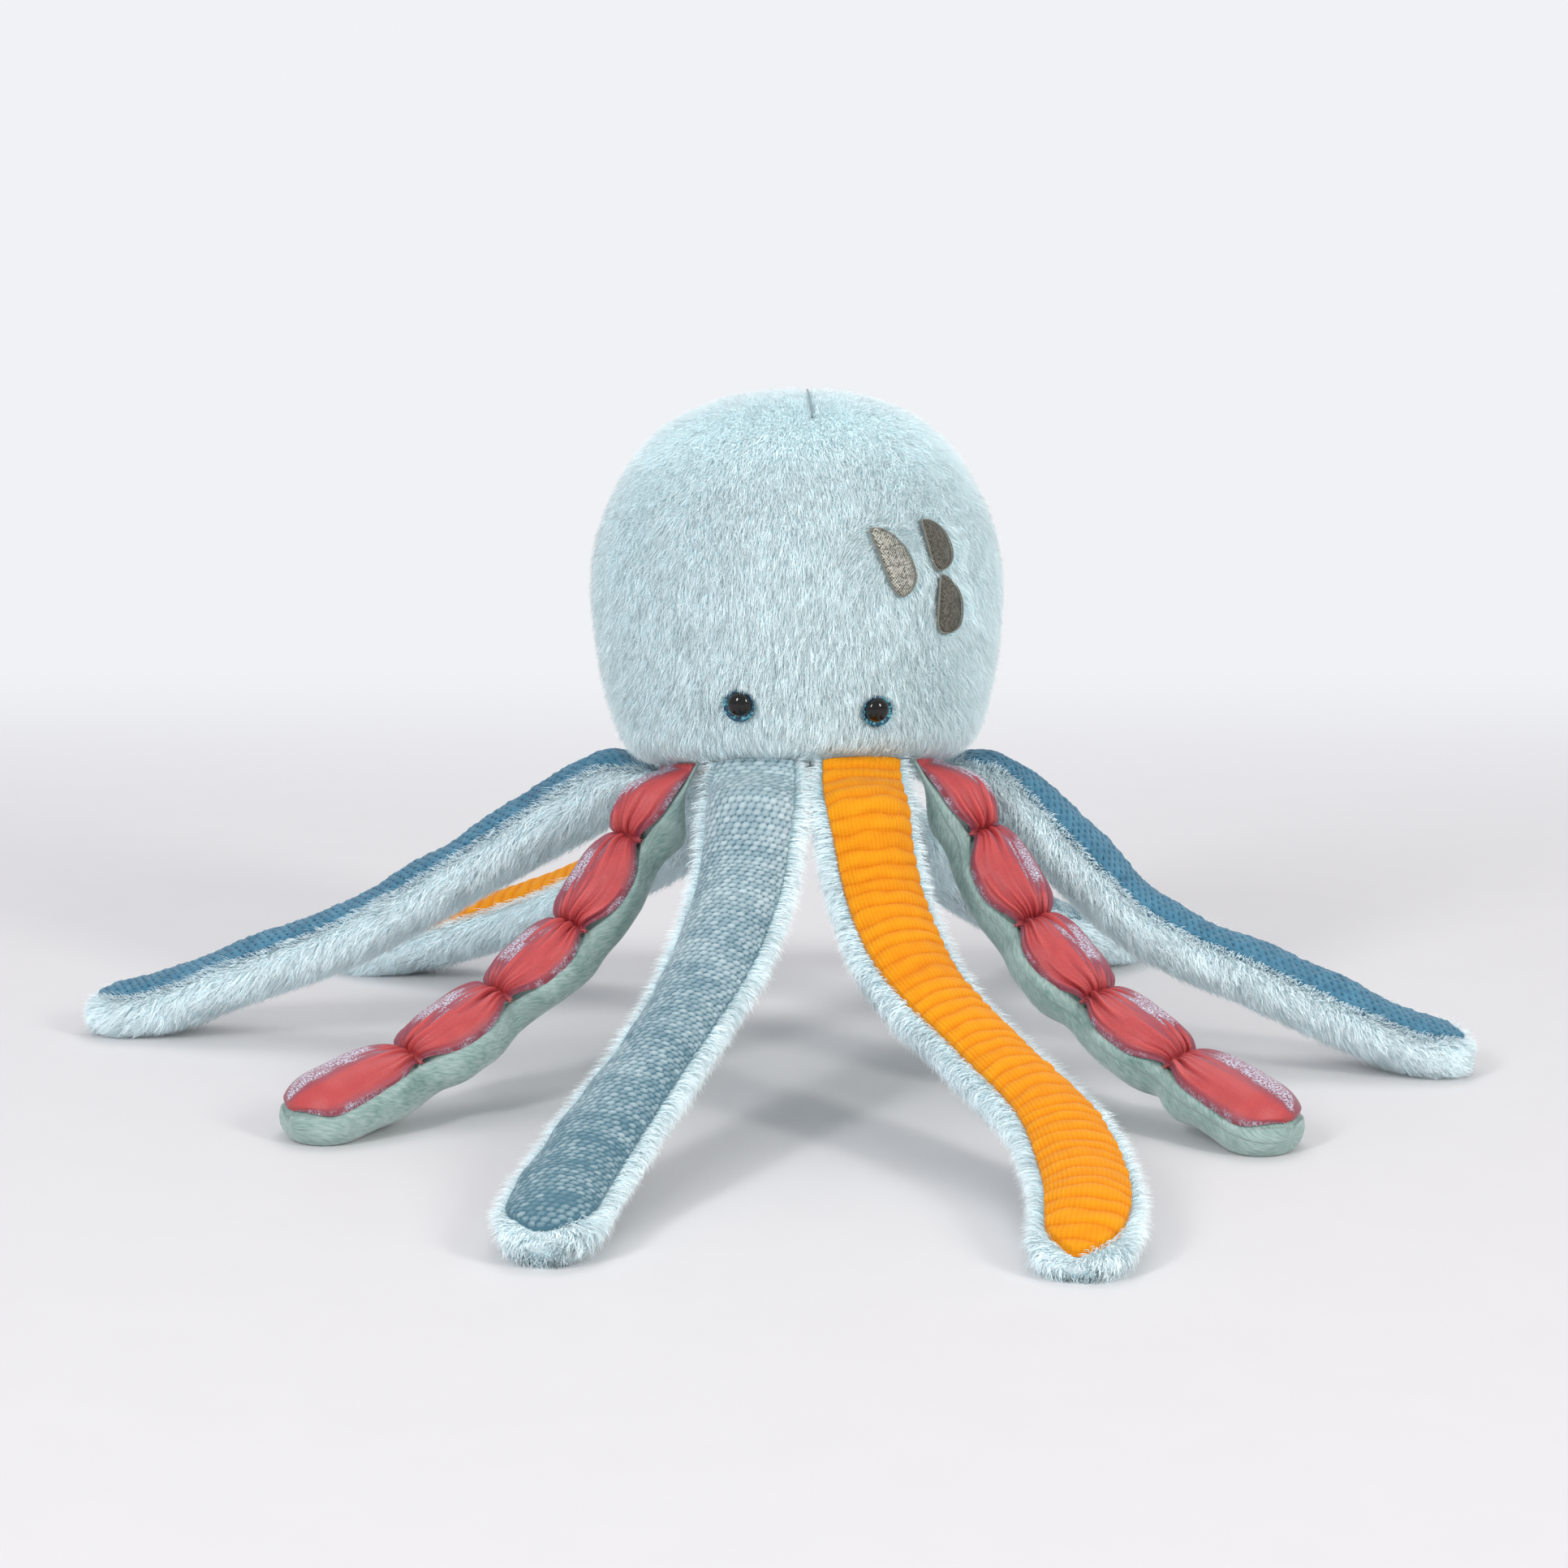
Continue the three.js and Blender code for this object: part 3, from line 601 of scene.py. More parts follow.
def satin_look():
    """Satin with silvery threads in its weft. Where the cloth turns away from the front it goes a dull
    purplish colour, painted shade, and along the top of that band and along its seams it has bright dashes of
    the weft, painted glints.
    """
    look = Look("coral_satin", Roughness=0.42, Sheen_Weight=0.25, Sheen_Roughness=0.3,
                Sheen_Tint=(0.9, 0.8, 0.86, 1), Specular_IOR_Level=0.5)
    # The second painted value says where glints are painted, the third where the purplish shade is painted.
    relief, painted_glint, turned = look.paint()[:3]
    across, along = look.cloth()
    grain = look.noise(0.8, 3.0)
    # Painted shade: darker in the folds and by the pinches.
    shade = look.plus(look.times(relief, 0.85), look.times(look.noise(9), 0.25))
    shade = look.plus(shade, look.times(look.math("SUBTRACT", grain, 0.5), 0.35))
    colour = look.mix(look.spread(shade, 0.15, 1.0), linear(CORAL_DARK), linear(CORAL_LIGHT))
    patches = look.times(look.math("SUBTRACT", look.noise(6), 0.5), 1.1)
    # Painted shade: the purplish colour where the cloth turns away.
    painted_shade_share = look.spread(look.plus(turned, look.times(patches, 0.4)), 0.25, 0.95)
    colour = look.mix(look.times(painted_shade_share, 0.8), colour, linear(MAUVE_SHADE_COLOUR))
    # Painted glints: bright dashes of the weft.
    dashes = look.noise(1, 2.0, look.along_cloth(across, along, 0.0007, 0.0015))
    glint = look.spread(look.plus(painted_glint, patches), 0.5, 1.0)
    glint_mask = look.times(glint, look.spread(dashes, 0.44, 0.58))
    look.bump(look.plus(grain, dashes), 0.5, 0.35)
    look.put(look.times(glint_mask, 0.5), look.shader.inputs["Metallic"])
    return look.done(look.mix(glint_mask, colour, linear(SILVER_GLINT_COLOUR)))


def weave(look, pitch):
    """A plain weave's threads over and under each other: a socket from 0 to 1."""
    places = look.add("SeparateXYZ", {0: look.places()}).outputs
    turns = math.tau / (pitch * MM)
    first = look.math("SINE", look.times(look.plus(places[0], places[1]), turns))
    second = look.math("SINE", look.times(places[2], turns))
    return look.spread(look.times(first, second), -1, 1)


def lurex_look(name, light, dark):
    """Metallic woven cloth: small bright and dark cells."""
    look = Look(name, Roughness=0.35, Metallic=0.5)
    chosen = look.cells(0.8)
    threads = weave(look, 1.7)
    shade = look.plus(look.times(threads, 0.6), look.times(chosen[0], 0.5))
    look.bump(threads, 0.9, 0.4)
    return look.done(look.mix(look.spread(shade, 0.2, 0.95), linear(dark), linear(light)))


def stitch_look(name, colour):
    look = Look(name, Roughness=0.5, Sheen_Weight=0.3, Specular_IOR_Level=0.5)
    fine = look.noise(0.6)
    darker = tuple(part * 0.7 for part in colour)
    look.bump(fine, 0.5, 0.2)
    return look.done(look.mix(look.spread(fine, 0.3, 0.7), linear(darker), linear(colour)))


def glitter_look():
    look = Look("glitter_film", Roughness=0.25, Metallic=0.6, Coat_Weight=0.6, Coat_Roughness=0.08)
    chosen = look.cells(0.9)
    look.bump(chosen[1], 0.8, 0.4)
    return look.done(look.mix(look.spread(chosen[0], 0.6, 1.0), linear(GLITTER_DARK), linear(GLITTER_LIGHT)))


def black_look():
    look = Look("eye_black", Roughness=0.03, Specular_IOR_Level=0.5)
    return look.done(look.mix(look.noise(2.5), (0.001, 0.001, 0.001, 1), (0.003, 0.003, 0.003, 1)))


def washer_look():
    look = Look("washer_plastic", Roughness=0.5)
    return look.done(look.mix(look.noise(3), (0.72, 0.72, 0.7, 1), (0.82, 0.82, 0.8, 1)))


HEAD_STEPS = 40
outline = spline(HEAD_OUTLINE_SHARES, HEAD_STEPS) * [HEAD_RADIUS, HEAD_HEIGHT]
outline_run = np.concatenate([[0], np.cumsum(np.linalg.norm(np.diff(outline, axis=0), axis=1))])
outline_slope = unit(np.gradient(outline, axis=0))


def on_head(degrees, run):
    """Places and outward directions on the head, in its own frame, at a run up its outline."""
    degrees, run = np.broadcast_arrays(degrees, run)
    angle = np.radians(degrees)
    radius = np.interp(run, outline_run, outline[:, 0])
    height = np.interp(run, outline_run, outline[:, 1])
    over = np.interp(run, outline_run, outline_slope[:, 0])
    up = np.interp(run, outline_run, outline_slope[:, 1])
    places = np.stack([np.sin(angle) * radius, -np.cos(angle) * radius * HEAD_DEPTH_SHARE, height], axis=-1)
    outward = np.stack([np.sin(angle) * up, -np.cos(angle) * up / HEAD_DEPTH_SHARE, -over], axis=-1)
    return places, unit(outward)


def sunk(places):
    """How deep the skin lies under each place of the outline: the fur is thickest at the crown."""
    return SKIN_SINK + (CROWN_SINK - SKIN_SINK) * smooth((places[..., 2:] / HEAD_HEIGHT - 0.52) / 0.34)


def run_at(height_share):
    return np.interp(height_share * HEAD_HEIGHT, outline[:, 1], outline_run)


def spot_outline(spot, rows, columns, grow=0.0):
    """A spot's grid of angles and runs on the head: rows up its length, columns across it."""
    table = spline(SPOT_ROW_SHARES, rows)
    share = np.linspace(0, 1, columns)
    along = table[:, :1] * (spot["length"] + 2 * grow) + 0 * share
    middle = (table[:, 1:2] + table[:, 2:3]) / 2 * spot["width"]
    half = (table[:, 2:3] - table[:, 1:2]) / 2 * spot["width"] + grow
    across = middle + half * (2 * share - 1)
    turn = math.radians(spot["turn"])
    sideways = across * math.cos(turn) - along * math.sin(turn)
    upwards = across * math.sin(turn) + along * math.cos(turn)
    run = run_at(spot["height_share"])
    girth = np.linalg.norm(on_head(np.array(spot["degrees"]), run)[0][:2])
    degrees = spot["degrees"] + np.degrees(sideways / girth)
    return degrees, run_at(spot["height_share"] + upwards / HEAD_HEIGHT)


def inside_spot(spot, degrees, run, grow):
    """Which places of the head lie under a spot."""
    turn = math.radians(spot["turn"])
    middle_run = run_at(spot["height_share"])
    girth = np.linalg.norm(on_head(np.array(spot["degrees"]), middle_run)[0][:2])
    sideways = np.radians(degrees - spot["degrees"]) * girth
    upwards = (np.interp(run, outline_run, outline[:, 1]) / HEAD_HEIGHT - spot["height_share"]) * HEAD_HEIGHT
    across = sideways * math.cos(turn) + upwards * math.sin(turn)
    along = -sideways * math.sin(turn) + upwards * math.cos(turn)
    table = np.array(SPOT_ROW_SHARES[::-1])
    share = along / spot["length"]
    low = np.interp(share, table[:, 0], table[:, 1]) * spot["width"] - grow
    high = np.interp(share, table[:, 0], table[:, 2]) * spot["width"] + grow
    within = np.abs(along) < spot["length"] / 2 + grow
    return within & (across > low) & (across < high)


HEAD_COLUMNS = 160
HEAD_ROWS = 110


def make_head_skin(look):
    degrees = np.linspace(0, 360, HEAD_COLUMNS, endpoint=False)
    run = np.linspace(0, outline_run[-1], HEAD_ROWS)
    places, outward = on_head(degrees[None, :], run[:, None])
    shell = places - sunk(places) * outward
    under = shell[:1] * np.linspace(0, 1, 12)[:, None, None]
    under[..., 2] = SKIN_SINK
    facing = np.zeros_like(under) + [0, 0, -1]
    grid = from_head(np.vstack([under, shell]))
    skin = make_grid(
        "head_skin", grid, np.vstack([facing, outward]) @ HEAD_TURN.T, "head", look, closed=True,
    )
    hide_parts("head_front_panel", "head_back_panel", "head_base_panel", "head_filling")


def eye_clearance(places):
    """How far each place of the head is from the nearer eye, and the way from that eye to it."""
    apart = np.full(len(places), np.inf)
    away = np.zeros_like(places)
    for degrees, height_share in EYES.values():
        centre = on_head(np.array(degrees), run_at(height_share))[0]
        centre = centre + DISC_DROP * unit(np.array([math.copysign(0.7, degrees), 0, -1]))
        offset = places - centre
        distance = np.linalg.norm(offset, axis=1)
        nearer = distance < apart
        apart[nearer], away[nearer] = distance[nearer], offset[nearer]
    return apart, unit(away)


COMB = np.array([-0.08, -0.4, -1.0])
LOW_BIAS, HIGH_BIAS = np.array([0, -0.25, 0.4]), np.array([0, 0.2, 0.6])


def make_head_pile(look):
    """The head's fur is combed down its front, parts round the eyes and stops at the spots."""
    area = np.concatenate([[0], np.cumsum(np.diff(outline_run) * (outline[1:, 0] + outline[:-1, 0]))])
    shares, turns = even_pairs(HEAD_HAIRS, 11)
    run = np.interp(shares * area[-1], area, outline_run)
    degrees = turns * 360 - 180
    places, outward = on_head(degrees, run)
    apart, away = eye_clearance(places)
    keep = apart > DISC_RADIUS - 0.2
    near_spot = np.zeros(len(places), bool)
    brushed = np.zeros((len(places), 3))
    for spot in SPOTS.values():
        keep &= ~inside_spot(spot, degrees, run, 0.2)
        near_spot |= inside_spot(spot, degrees, run, 3.5)
        centre = on_head(np.array(spot["degrees"]), run_at(spot["height_share"]))[0]
        offset = places - centre
        apart_share = np.linalg.norm(offset, axis=1) / (0.6 * spot["length"])
        brushed += unit(offset) * smooth(1.7 - apart_share)[:, None]
    lay = COMB - outward * (outward @ COMB)[:, None]
    lay = unit(lay + 0.12 * np.stack([ripple(places, 45, seed) for seed in (3, 4, 5)], axis=1))
    lay = unit(lay + 0.9 * brushed)
    eye_share = np.clip((apart - DISC_RADIUS) / EYE_PARTING, 0, 1)[:, None]
    lay = unit(lay * eye_share + away * (1 - eye_share))
    length = HEAD_PILE * (0.55 + 0.45 * eye_share[:, 0]) * np.where(near_spot, 0.75, 1)
    length = length * (1 - 0.25 * smooth((places[:, 2] / HEAD_HEIGHT - 0.8) / 0.2))
    upright = smooth((0.42 - places[:, 2] / HEAD_HEIGHT) / 0.3) * smooth(run / 25)
    height_share = places[:, 2:] / HEAD_HEIGHT
    bias = smooth((0.6 - height_share) / 0.6) * LOW_BIAS + smooth((height_share - 0.7) / 0.25) * HIGH_BIAS
    aside = places[:, 0] - DART_ASIDE
    in_dart = (run > run_at(DART_HEIGHT_SHARE)) & (np.abs(aside) < DART_REACH) & (places[:, 1] < 0)
    closeness = np.where(in_dart, 1 - np.abs(aside) / DART_REACH, 0)
    keep &= closeness < 0.85
    length = length * (1 - 0.7 * closeness)
    lay = unit(lay + np.sign(aside)[:, None] * closeness[:, None] * np.array([0.9, 0, 0]))
    skin = places - sunk(places) * outward
    roots, normals, lays = from_head(skin), outward @ HEAD_TURN.T, lay @ HEAD_TURN.T
    band = np.minimum((turns * HEAD_PILE_PIECES).astype(int), HEAD_PILE_PIECES - 1)
    for index in range(HEAD_PILE_PIECES):
        chosen = keep & (band == index)
        pile = make_pile(
            f"head_fur_{index + 1}", roots[chosen], normals[chosen], lays[chosen], length[chosen], "head",
            look, 20 + index, lean=(30 - 12 * upright[chosen, None], 62 - 20 * upright[chosen, None]),
            width=0.32, tuft=1.4, pull=0.32, wander=0.16, squash=(1, 1, 0.25), bias=bias[chosen],
        )


THREAD_RADIUS = 0.35
THREAD_SIDES = 6
THREAD_STEPS = 40


def tube_round(path, upright, radius):
    """Rings of points round a path, one at each of its places."""
    tangent = unit(np.gradient(path, axis=0))
    first = unit(np.cross(tangent, upright))
    second = np.cross(tangent, first)
    turn = round_steps(THREAD_SIDES)
    ring = first[:, None] * np.cos(turn)[None, :, None] + second[:, None] * np.sin(turn)[None, :, None]
    return path[:, None] + radius * ring


def make_dart(look):
    """The seam of the crown's dart, down in the parted fur: a thread whose dark colour is painted shade of
    the parting.
    """
    run = np.linspace(run_at(DART_HEIGHT_SHARE), run_at(0.985), THREAD_STEPS)
    radius = np.interp(run, outline_run, outline[:, 0])
    places, outward = on_head(np.degrees(np.arcsin(DART_ASIDE / radius)), run)
    tube = tube_round(places - DART_DEPTH * outward, outward, DART_RADIUS)
    faces = grid_faces(THREAD_STEPS, THREAD_SIDES, closed=True)
    piece = make_mesh("head_dart_seam", from_head(tube.reshape(-1, 3)), [faces], "head", look)


def make_under_pile(look):
    """Short fur under the head, inside the ring of limbs."""
    shares, turns = even_pairs(UNDER_HAIRS, 12)
    radius = np.sqrt(shares) * outline[0, 0] * 0.98
    angle = turns * math.tau
    roots = np.stack([np.sin(angle) * radius, -np.cos(angle) * radius * HEAD_DEPTH_SHARE, 0 * radius], axis=1)
    roots[:, 2] = SKIN_SINK
    normals = np.zeros_like(roots) - [0, 0, 1]
    lays = unit(roots * [1, 1, 0] + 1e-6)
    length = np.full(len(roots), UNDER_PILE)
    pile = make_pile(
        "head_fur_under", from_head(roots), normals @ HEAD_TURN.T, lays @ HEAD_TURN.T, length, "head",
        look, 31, lean=(35, 80), width=0.7, tuft=4,
    )


def turned_grid(profile, columns):
    """Rows of points of a profile turned about its own upright axis."""
    profile = np.array(profile, float)
    angle = round_steps(columns)
    ring = np.stack([np.cos(angle), np.sin(angle), np.ones(columns)], axis=1)
    return profile[:, None, [0, 0, 1]] * ring[None]


EYE_COLUMNS = 64
DOME_STEPS = 16
SHANK_RADIUS = 2
SHANK_LENGTH = 11


def make_eyes(black, glitter, washer):
    disc_top = FABRIC_GAP + DISC_THICKNESS
    dome_base = disc_top + FABRIC_GAP
    angle = np.linspace(0, math.pi / 2, DOME_STEPS)
    shank_end = dome_base - SHANK_LENGTH
    dome = [(0, shank_end), (SHANK_RADIUS, shank_end), (SHANK_RADIUS, dome_base)]
    dome += [(EYE_RADIUS - 0.3, dome_base), (EYE_RADIUS, dome_base + 0.3)]
    dome += [
        (EYE_RADIUS * math.cos(a), dome_base + 0.3 + (EYE_HEIGHT - 0.3) * math.sin(a)) for a in angle[1:]
    ]
    disc = [(SHANK_RADIUS + FABRIC_GAP, FABRIC_GAP), (DISC_RADIUS - 0.2, FABRIC_GAP)]
    disc += [(DISC_RADIUS, FABRIC_GAP + 0.25), (DISC_RADIUS, disc_top - 0.2), (DISC_RADIUS - 0.3, disc_top)]
    disc += [(EYE_RADIUS, disc_top - 0.25), (SHANK_RADIUS + FABRIC_GAP, disc_top - 0.3)]
    disc += [(SHANK_RADIUS + FABRIC_GAP, FABRIC_GAP)]
    for side, (degrees, height_share) in EYES.items():
        place, outward = on_head(np.array(degrees), run_at(height_share))
        turn = np.array(Vector((0, 0, 1)).rotation_difference(Vector(outward)).to_matrix())
        disc_shift = turn.T @ (DISC_DROP * unit(np.array([math.copysign(0.7, degrees), 0, -1])))
        disc_shift[2] = 0
        rounds = (("eye", dome, black, "black"), ("eye_disc", disc, glitter, "glitter"))
        for name, profile, look, slot in rounds:
            grid = turned_grid(profile, EYE_COLUMNS) + (disc_shift if name == "eye_disc" else 0)
            outside = grid_normals(grid, closed=True)
            middle = np.array([0, 0, np.mean([height for _, height in profile])])
            if np.sum(outside * (grid - middle)) < 0:
                outside = -outside
            grid = from_head(grid @ turn.T + place)
            outside = outside @ turn.T @ HEAD_TURN.T
            piece = make_grid(f"{name}_{side}_round", grid, outside, "head", look, closed=True)
            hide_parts(f"{name}_{side}")
        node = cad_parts[f"eye_washer_{side}"]
        node.data.materials.clear()
        node.data.materials.append(washer)


def make_spots(bright, dull, stitch):
    """Each spot is a padded patch with a rim of satin stitches."""
    for index, (name, spot) in enumerate(SPOTS.items()):
        degrees, run = spot_outline(spot, 6, 26)
        places, outward = on_head(degrees, run)
        rows, columns = degrees.shape
        across = np.abs(np.linspace(-1, 1, columns))[None, :]
        along = np.abs(np.linspace(-1, 1, rows))[:, None]
        crown = (1 - across**4) * (1 - along**6)
        grid = from_head(places + outward * (SPOT_LIFT - 1.6 + 1.6 * crown)[..., None])
        look = bright if name == "spot_large" else dull
        patch = make_grid(name + "_patch", grid, outward @ HEAD_TURN.T, "head", look)
        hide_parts(name)
        rim = [places[0], places[1:, -1], places[-1, ::-1][1:], places[::-1, 0][1:]]
        lift = [outward[0], outward[1:, -1], outward[-1, ::-1][1:], outward[::-1, 0][1:]]
        make_stitches(name + "_stitches", np.vstack(rim), np.vstack(lift), stitch, 40 + index)


STITCH_SIDES = 5


def make_stitches(name, rim, outward, look, seed):
    """Short threads laid side by side across a closed rim."""
    chance = np.random.default_rng(seed)
    run = np.concatenate([[0], np.cumsum(np.linalg.norm(np.diff(rim, axis=0), axis=1))])
    count = int(run[-1] / STITCH_PITCH)
    at = (np.arange(count) + 0.5) * run[-1] / count
    centre = np.stack([np.interp(at, run, rim[:, k]) for k in range(3)], axis=1)
    normal = unit(np.stack([np.interp(at, run, outward[:, k]) for k in range(3)], axis=1))
    along = unit(np.roll(centre, -2, axis=0) - np.roll(centre, 2, axis=0))
    across = unit(np.cross(along, normal) + 0.12 * chance.normal(size=(count, 1)) * along)
    stops = np.array([-1, -0.6, 0, 0.6, 1]) * STITCH_WIDTH / 2
    arch = SPOT_LIFT - 1.4 + 1.1 * (1 - (stops / (STITCH_WIDTH / 2)) ** 2)
    turn = round_steps(STITCH_SIDES)
    radius = STITCH_PITCH * 0.56 * np.array([0.3, 0.9, 1, 0.9, 0.3])
    middle = centre[:, None] + across[:, None] * stops[None, :, None] + normal[:, None] * arch[None, :, None]
    ring = (along[:, None, None] * np.cos(turn)[None, None, :, None]
            + normal[:, None, None] * np.sin(turn)[None, None, :, None]) * radius[None, :, None, None]
    points = (middle[:, :, None] + ring).reshape(-1, 3)
    tube = grid_faces(len(stops), STITCH_SIDES, closed=True)
    step = len(stops) * STITCH_SIDES
    faces = (np.arange(count)[:, None, None] * step + tube[None]).reshape(-1, 4)
    piece = make_mesh(name, from_head(points), [faces], "head", look)


ROUTE_STEPS = 60
ROUTE_SAMPLES = 1600


def route_points(knots):
    """Points along a centripetal spline through the knots."""
    knots = np.array(knots, float)
    before, after = 2 * knots[0] - knots[1], 2 * knots[-1] - knots[-2]
    padded = np.vstack([before, knots, after])
    t = np.linspace(0, 1, ROUTE_STEPS, endpoint=False)[:, None]
    found = []
    for a, b, c, d in zip(padded, padded[1:], padded[2:], padded[3:]):
        first, second, third = (math.sqrt(np.linalg.norm(q - p)) for p, q in ((a, b), (b, c), (c, d)))
        start = ((b - a) / first - (c - a) / (first + second) + (c - b) / second) * second
        end = ((c - b) / second - (d - b) / (second + third) + (d - c) / third) * second
        found.append(
            b + start * t + (3 * (c - b) - 2 * start - end) * t**2 + (2 * (b - c) + start + end) * t**3
        )
    return np.vstack([*found, knots[-1:]])


def from_shares(rows, at):
    """A table's value at a share, eased between its rows."""
    value = np.full(np.shape(at), float(rows[0][1]))
    for (start, before), (end, after) in zip(rows, rows[1:]):
        value = np.where(at > start, before + (after - before) * smooth((at - start) / (end - start)), value)
    return value


class Limb:
    """A limb's route and sections: an angle of 90 degrees on a section is the middle of its face."""

    def __init__(self, name, degrees, cloth, shares):
        self.name, self.cloth = name, cloth
        self.body = "tentacle_" + name
        self.coral = cloth == "satin"
        self.seam = {"satin": CORAL_SEAM, "knit": KNIT_SEAM, "waffle": WAFFLE_SEAM}.get(cloth, FACE_SEAM)
        azimuth = math.radians(degrees)
        ring = np.array([math.sin(azimuth), -math.cos(azimuth), 0])
        hinge = HEAD_TURN @ (HINGE_RADIUS * ring - np.array([0, 0, ROOT_RADIUS + ROOT_GAP])) + HEAD_ORIGIN
        self.axis = HEAD_TURN @ np.array([-math.cos(azimuth), -math.sin(azimuth), 0])
        turned = azimuth + math.radians(HEAD_YAW)
        outward = np.array([math.sin(turned), -math.cos(turned), 0])
        sideways = np.array([math.cos(turned), math.sin(turned), 0])
        # The way the satin's painted glints and painted shade face: its cloth gets them where it turns
        # towards this.
        self.glint_from = unit(np.array([math.copysign(0.45, outward[0]), 0.2, 0.87]))
        self.thickness = CORAL_THICKNESS if self.coral else PLAIN_THICKNESS
        self.widths = CORAL_WIDTH if self.coral else PLAIN_WIDTH
        rest = LIMB_HALF_THICKNESS * self.thickness[-1][1] - FLOOR_CUT
        knots = [TOY_AXIS + LIMB_REACH * (out * outward + aside * sideways) for out, aside, _ in shares]
        for knot, (_, _, up) in zip(knots, shares):
            knot[2] = rest + up * (SEAM_HEIGHT - ROOT_GAP - rest)
        start = hinge + unit(hinge - knots[0]) * ROOT_RADIUS
        dense = route_points([start, hinge, *knots])
        run = np.concatenate([[0], np.cumsum(np.linalg.norm(np.diff(dense, axis=0), axis=1))])
        self.length = run[-1]
        self.runs = np.linspace(0, self.length, ROUTE_SAMPLES)
        self.places = np.stack([np.interp(self.runs, run, dense[:, k]) for k in range(3)], axis=1)
        self.places[:, 2] -= END_DROOP[cloth] * self.droop(self.runs)
        self.alongs = unit(np.gradient(self.places, axis=0))
        level = unit(np.cross(self.alongs, [0, 0, 1]))
        ease = smooth(self.runs / self.length / LEVEL_SHARE)[:, None]
        self.sides = unit(self.axis * (1 - ease) + level * ease)
        self.outs = unit(np.cross(self.sides, self.alongs))

    def at(self, values, run):
        return np.stack([np.interp(run, self.runs, values[:, k]) for k in range(3)], axis=-1)

    def droop(self, run):
        """How far each run is into the limb's drooping end, from 0 to 1."""
        return smooth((run - self.length + DROOP_LENGTH) / DROOP_LENGTH)

    def pinch(self, run, reach=PINCH_REACH):
        """How near each run is to a gathered pinch, from 0 to 1."""
        if not self.coral:
            return np.zeros(np.shape(run))
        near = np.min([np.abs(run / self.length - pinch) for pinch in PINCHES], axis=0)
        return np.exp(-((near / reach) ** 2))

    def size(self, run):
        """Half width, height of the face and depth of the back."""
        share = run / self.length
        past = np.maximum(run - (self.length - TIP_LENGTH), 0) / TIP_LENGTH
        before = np.maximum(ROOT_RADIUS - run, 0) / ROOT_RADIUS
        cut = 1 - TIP_END_SHARE**2
        tip, root = np.sqrt(1 - past**2 * cut), np.sqrt(1 - before**2 * cut)
        width = LIMB_HALF_WIDTH * from_shares(self.widths, share) * tip * (1 - 0.2 * self.pinch(run))
        full = LIMB_HALF_THICKNESS * from_shares(self.thickness, share)
        swell = smooth((run - ROOT_RADIUS - NECK_LENGTH) / SWELL_LENGTH)
        depth = (ROOT_RADIUS + (full - ROOT_RADIUS) * swell) * tip * root
        crown = depth * (1 - 0.52 * self.pinch(run)) * (1 - END_FLAT[self.cloth] * self.droop(run))
        return width, crown, depth

    def face_half(self, run):
        """How many degrees the face reaches to each side of its middle: its end is round."""
        end = self.length - (CORAL_END if self.coral else PLAIN_END)
        rounded = ROUND_END[self.cloth]
        past = np.clip((run - end + rounded) / rounded, 0, 1)
        seam = ROOT_SEAM + (self.seam - ROOT_SEAM) * smooth(run / ROOT_SEAM_LENGTH)
        half = (90 - seam) * np.sqrt(1 - past**2.4)
        if self.coral:
            half = half - PINCH_SEAM * (1 - self.bulb(run) ** 1.5) * (1 - past)
        return half

    def bulb(self, run):
        """The face's height between its pinches: round bulbs with sharp creases between them."""
        stops = np.array([0.0, *PINCHES, 1.0]) * self.length
        last = len(stops) - 2
        index = np.clip(np.searchsorted(stops, run) - 1, 0, last)
        share = (run - stops[index]) / (stops[index + 1] - stops[index])
        share = np.where(index == 0, np.maximum(share, 0.5), share)
        share = np.where(index == last, np.minimum(share, 0.5), share)
        return np.clip(1 - np.abs(2 * share - 1) ** 2.4, 0, 1) ** 0.5

    def from_face(self, run, degrees):
        """Degrees from each place to the edge of the face, less than none on it."""
        return np.abs((degrees + 90) % 360 - 180) - self.face_half(run)

    def surface(self, run, degrees, lift=0.0):
        """Places at runs and angles, lifted off the section."""
        angle = np.radians(degrees)
        width, crown, depth = self.size(run)
        height = np.where(np.sin(angle) > 0, crown, depth)
        sideways = np.maximum(width + lift, 0.3) * np.cos(angle)
        outwards = np.maximum(height + lift, 0.3) * np.sin(angle)
        place = self.at(self.places, run)
        return (place + self.at(self.sides, run) * sideways[..., None]
                + self.at(self.outs, run) * outwards[..., None])


def steady(limb, grid):
    """Normals of a limb's grid, turned out of the limb."""
    normals = grid_normals(grid)
    middle = grid.mean(axis=1, keepdims=True)
    if np.sum(normals * (grid - middle)) < 0:
        normals = -normals
    return normals


BODY_ROWS, BODY_COLUMNS = 300, 90


